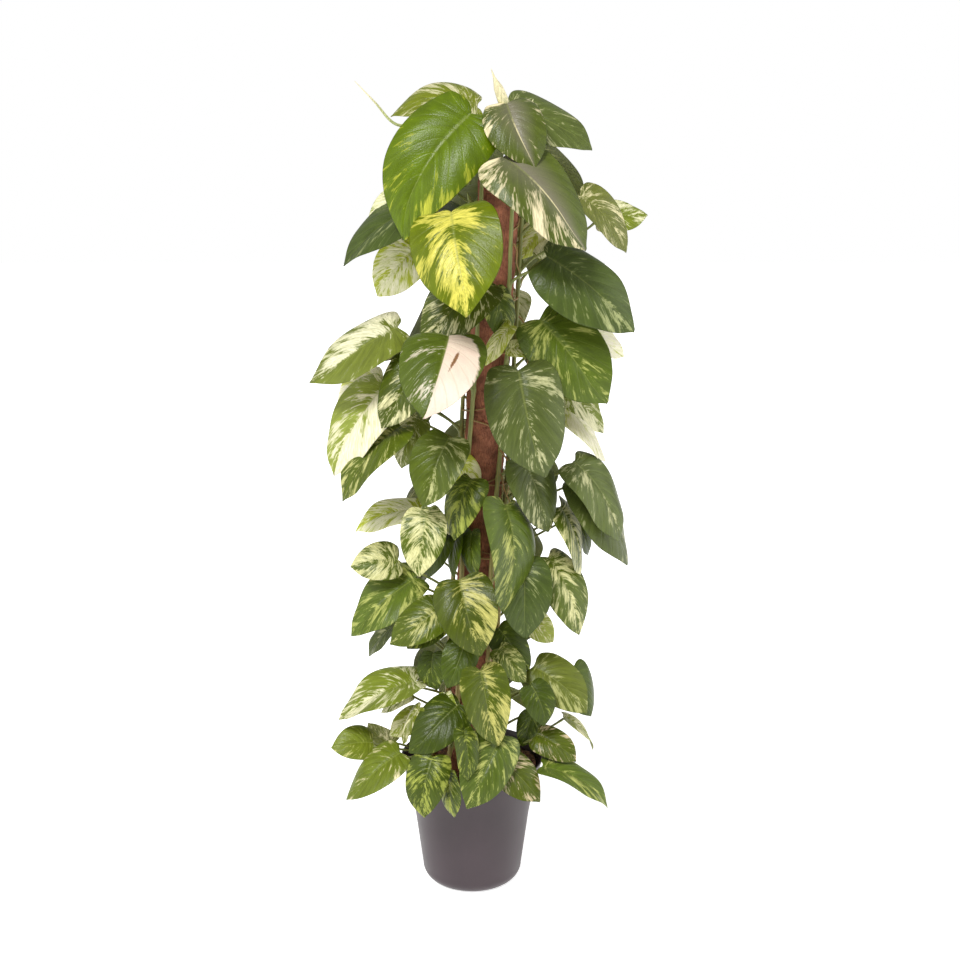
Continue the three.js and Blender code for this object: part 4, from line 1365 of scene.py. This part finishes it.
CAMERA_PLACE = (0.014, -2.6, 1.45)
CAMERA_PITCH = 15.45  # degrees below the level
PHOTO_SIDE = 960
FOCAL_PIXELS = 1606
SENSOR_MM = 36
SKY_LIGHT = 2.4
SKY_ANGLE = 18  # degrees across, which softens its shadows
SKY_FACING = (0.36, 0.8, -1.0)
# Each soft light: name, place, side lengths, power in watts, the point that it faces.
LIGHTS = [
    ("soft_left", (-2.4, -0.7, 1.4), (3.0, 2.6), 20, (0, 0, 0.7)),
    ("soft_right", (2.5, -0.3, 1.4), (3.0, 2.6), 34, (0, 0, 0.7)),
    ("soft_front", (0.3, -2.8, 3.2), (2.2, 1.0), 6, (0, 0, 0.8)),
]


class POTHOS_OT_stage(bpy.types.Operator):
    """Set a pale floor, soft lights and the camera round the plant"""

    bl_idname = "pothos.stage"
    bl_label = "Studio"

    def execute(self, context):
        look = context.scene.pothos_stage
        half = look.floor / 2
        mesh = bpy.data.meshes.new("floor")
        corners = [(-half, -half, 0), (half, -half, 0), (half, half, 0), (-half, half, 0)]
        mesh.from_pydata(corners, [], [(0, 1, 2, 3)])
        mesh.materials.append(lit_floor())
        floor = bpy.data.objects.new("floor", mesh)
        context.scene.collection.objects.link(floor)

        world = bpy.data.worlds.new("white_room")
        world.use_nodes = True
        tree = world.node_tree
        seen = add(tree, "LightPath", output="Is Camera Ray")
        glow = add(tree, "MapRange", (seen, 0.0, 1.0, ROOM_LIGHT, ROOM_SEEN))
        plug(tree, tree.nodes["Background"], {"Color": (1, 1, 1, 1), "Strength": glow})
        context.scene.world = world
        sun = bpy.data.lights.new("soft_sky", "SUN")
        sun.energy, sun.angle = SKY_LIGHT * look.light, np.radians(SKY_ANGLE)
        self.put(context, "soft_sky", sun, (0, 0, 3), SKY_FACING)
        for name, place, (width, height), watts, aim in LIGHTS:
            lamp = bpy.data.lights.new(name, "AREA")
            lamp.shape = "RECTANGLE"
            lamp.size, lamp.size_y = width, height
            lamp.energy = watts * look.light
            self.put(context, name, lamp, place, np.subtract(aim, place)).visible_camera = False

        camera = bpy.data.cameras.new("camera")
        camera.sensor_width = SENSOR_MM
        camera.lens = FOCAL_PIXELS * SENSOR_MM / PHOTO_SIDE
        pitch = np.radians(CAMERA_PITCH)
        facing = (0, np.cos(pitch), -np.sin(pitch))
        context.scene.camera = self.put(context, "camera", camera, CAMERA_PLACE, facing)
        context.scene.view_settings.view_transform = "Standard"
        return {"FINISHED"}

    def put(self, context, name, data, place, facing):
        """A light or camera at a place, whose own -Z looks along facing and whose X is level."""
        forward = unit(np.asarray(facing, float))
        right = unit(np.cross(forward, (0, 0, 1)))
        up = np.cross(right, forward)
        made = bpy.data.objects.new(name, data)
        rows = np.stack([right, up, -forward, place], axis=1)
        made.matrix_world = Matrix([*rows.tolist(), [0, 0, 0, 1]])
        context.scene.collection.objects.link(made)
        return made


# ---- Add-on


class POTHOS_PT_panel(bpy.types.Panel):
    bl_idname = "POTHOS_PT_panel"
    bl_label = "Potted pothos"
    bl_space_type = "VIEW_3D"
    bl_region_type = "UI"
    bl_category = "Pothos"

    def draw(self, context):
        for title, group, operators in SECTIONS:
            box = self.layout.box()
            box.label(text=title)
            settings = getattr(context.scene, group)
            for name in settings.__annotations__:
                box.prop(settings, name)
            for operator in operators:
                box.operator(operator)


GROUPS = {
    "pothos_pot": PothosPot,
    "pothos_ground": PothosGround,
    "pothos_pole": PothosPole,
    "pothos_vines": PothosVines,
    "pothos_stage": PothosStage,
}
# Each box of the panel: its title, its settings and its operators, in the order that they are run.
SECTIONS = [
    ("Pot", "pothos_pot", ["pothos.pot"]),
    ("Soil", "pothos_ground", ["pothos.soil"]),
    ("Pole", "pothos_pole", ["pothos.pole"]),
    ("Plant", "pothos_vines", ["pothos.stems", "pothos.roots", "pothos.leaves", "pothos.spears"]),
    ("Studio", "pothos_stage", ["pothos.stage"]),
]
CLASSES = [
    *GROUPS.values(),
    POTHOS_OT_pot,
    POTHOS_OT_soil,
    POTHOS_OT_pole,
    POTHOS_OT_stems,
    POTHOS_OT_roots,
    POTHOS_OT_leaves,
    POTHOS_OT_spears,
    POTHOS_OT_stage,
    POTHOS_PT_panel,
]


def register():
    for each in CLASSES:
        bpy.utils.register_class(each)
    for name, group in GROUPS.items():
        setattr(bpy.types.Scene, name, bpy.props.PointerProperty(type=group))


def unregister():
    for name in GROUPS:
        delattr(bpy.types.Scene, name)
    for each in reversed(CLASSES):
        bpy.utils.unregister_class(each)


def main():
    register()
    for _, _, operators in SECTIONS:
        for operator in operators:
            area, name = operator.split(".")
            getattr(getattr(bpy.ops, area), name)()


if __name__ == "__main__":
    main()
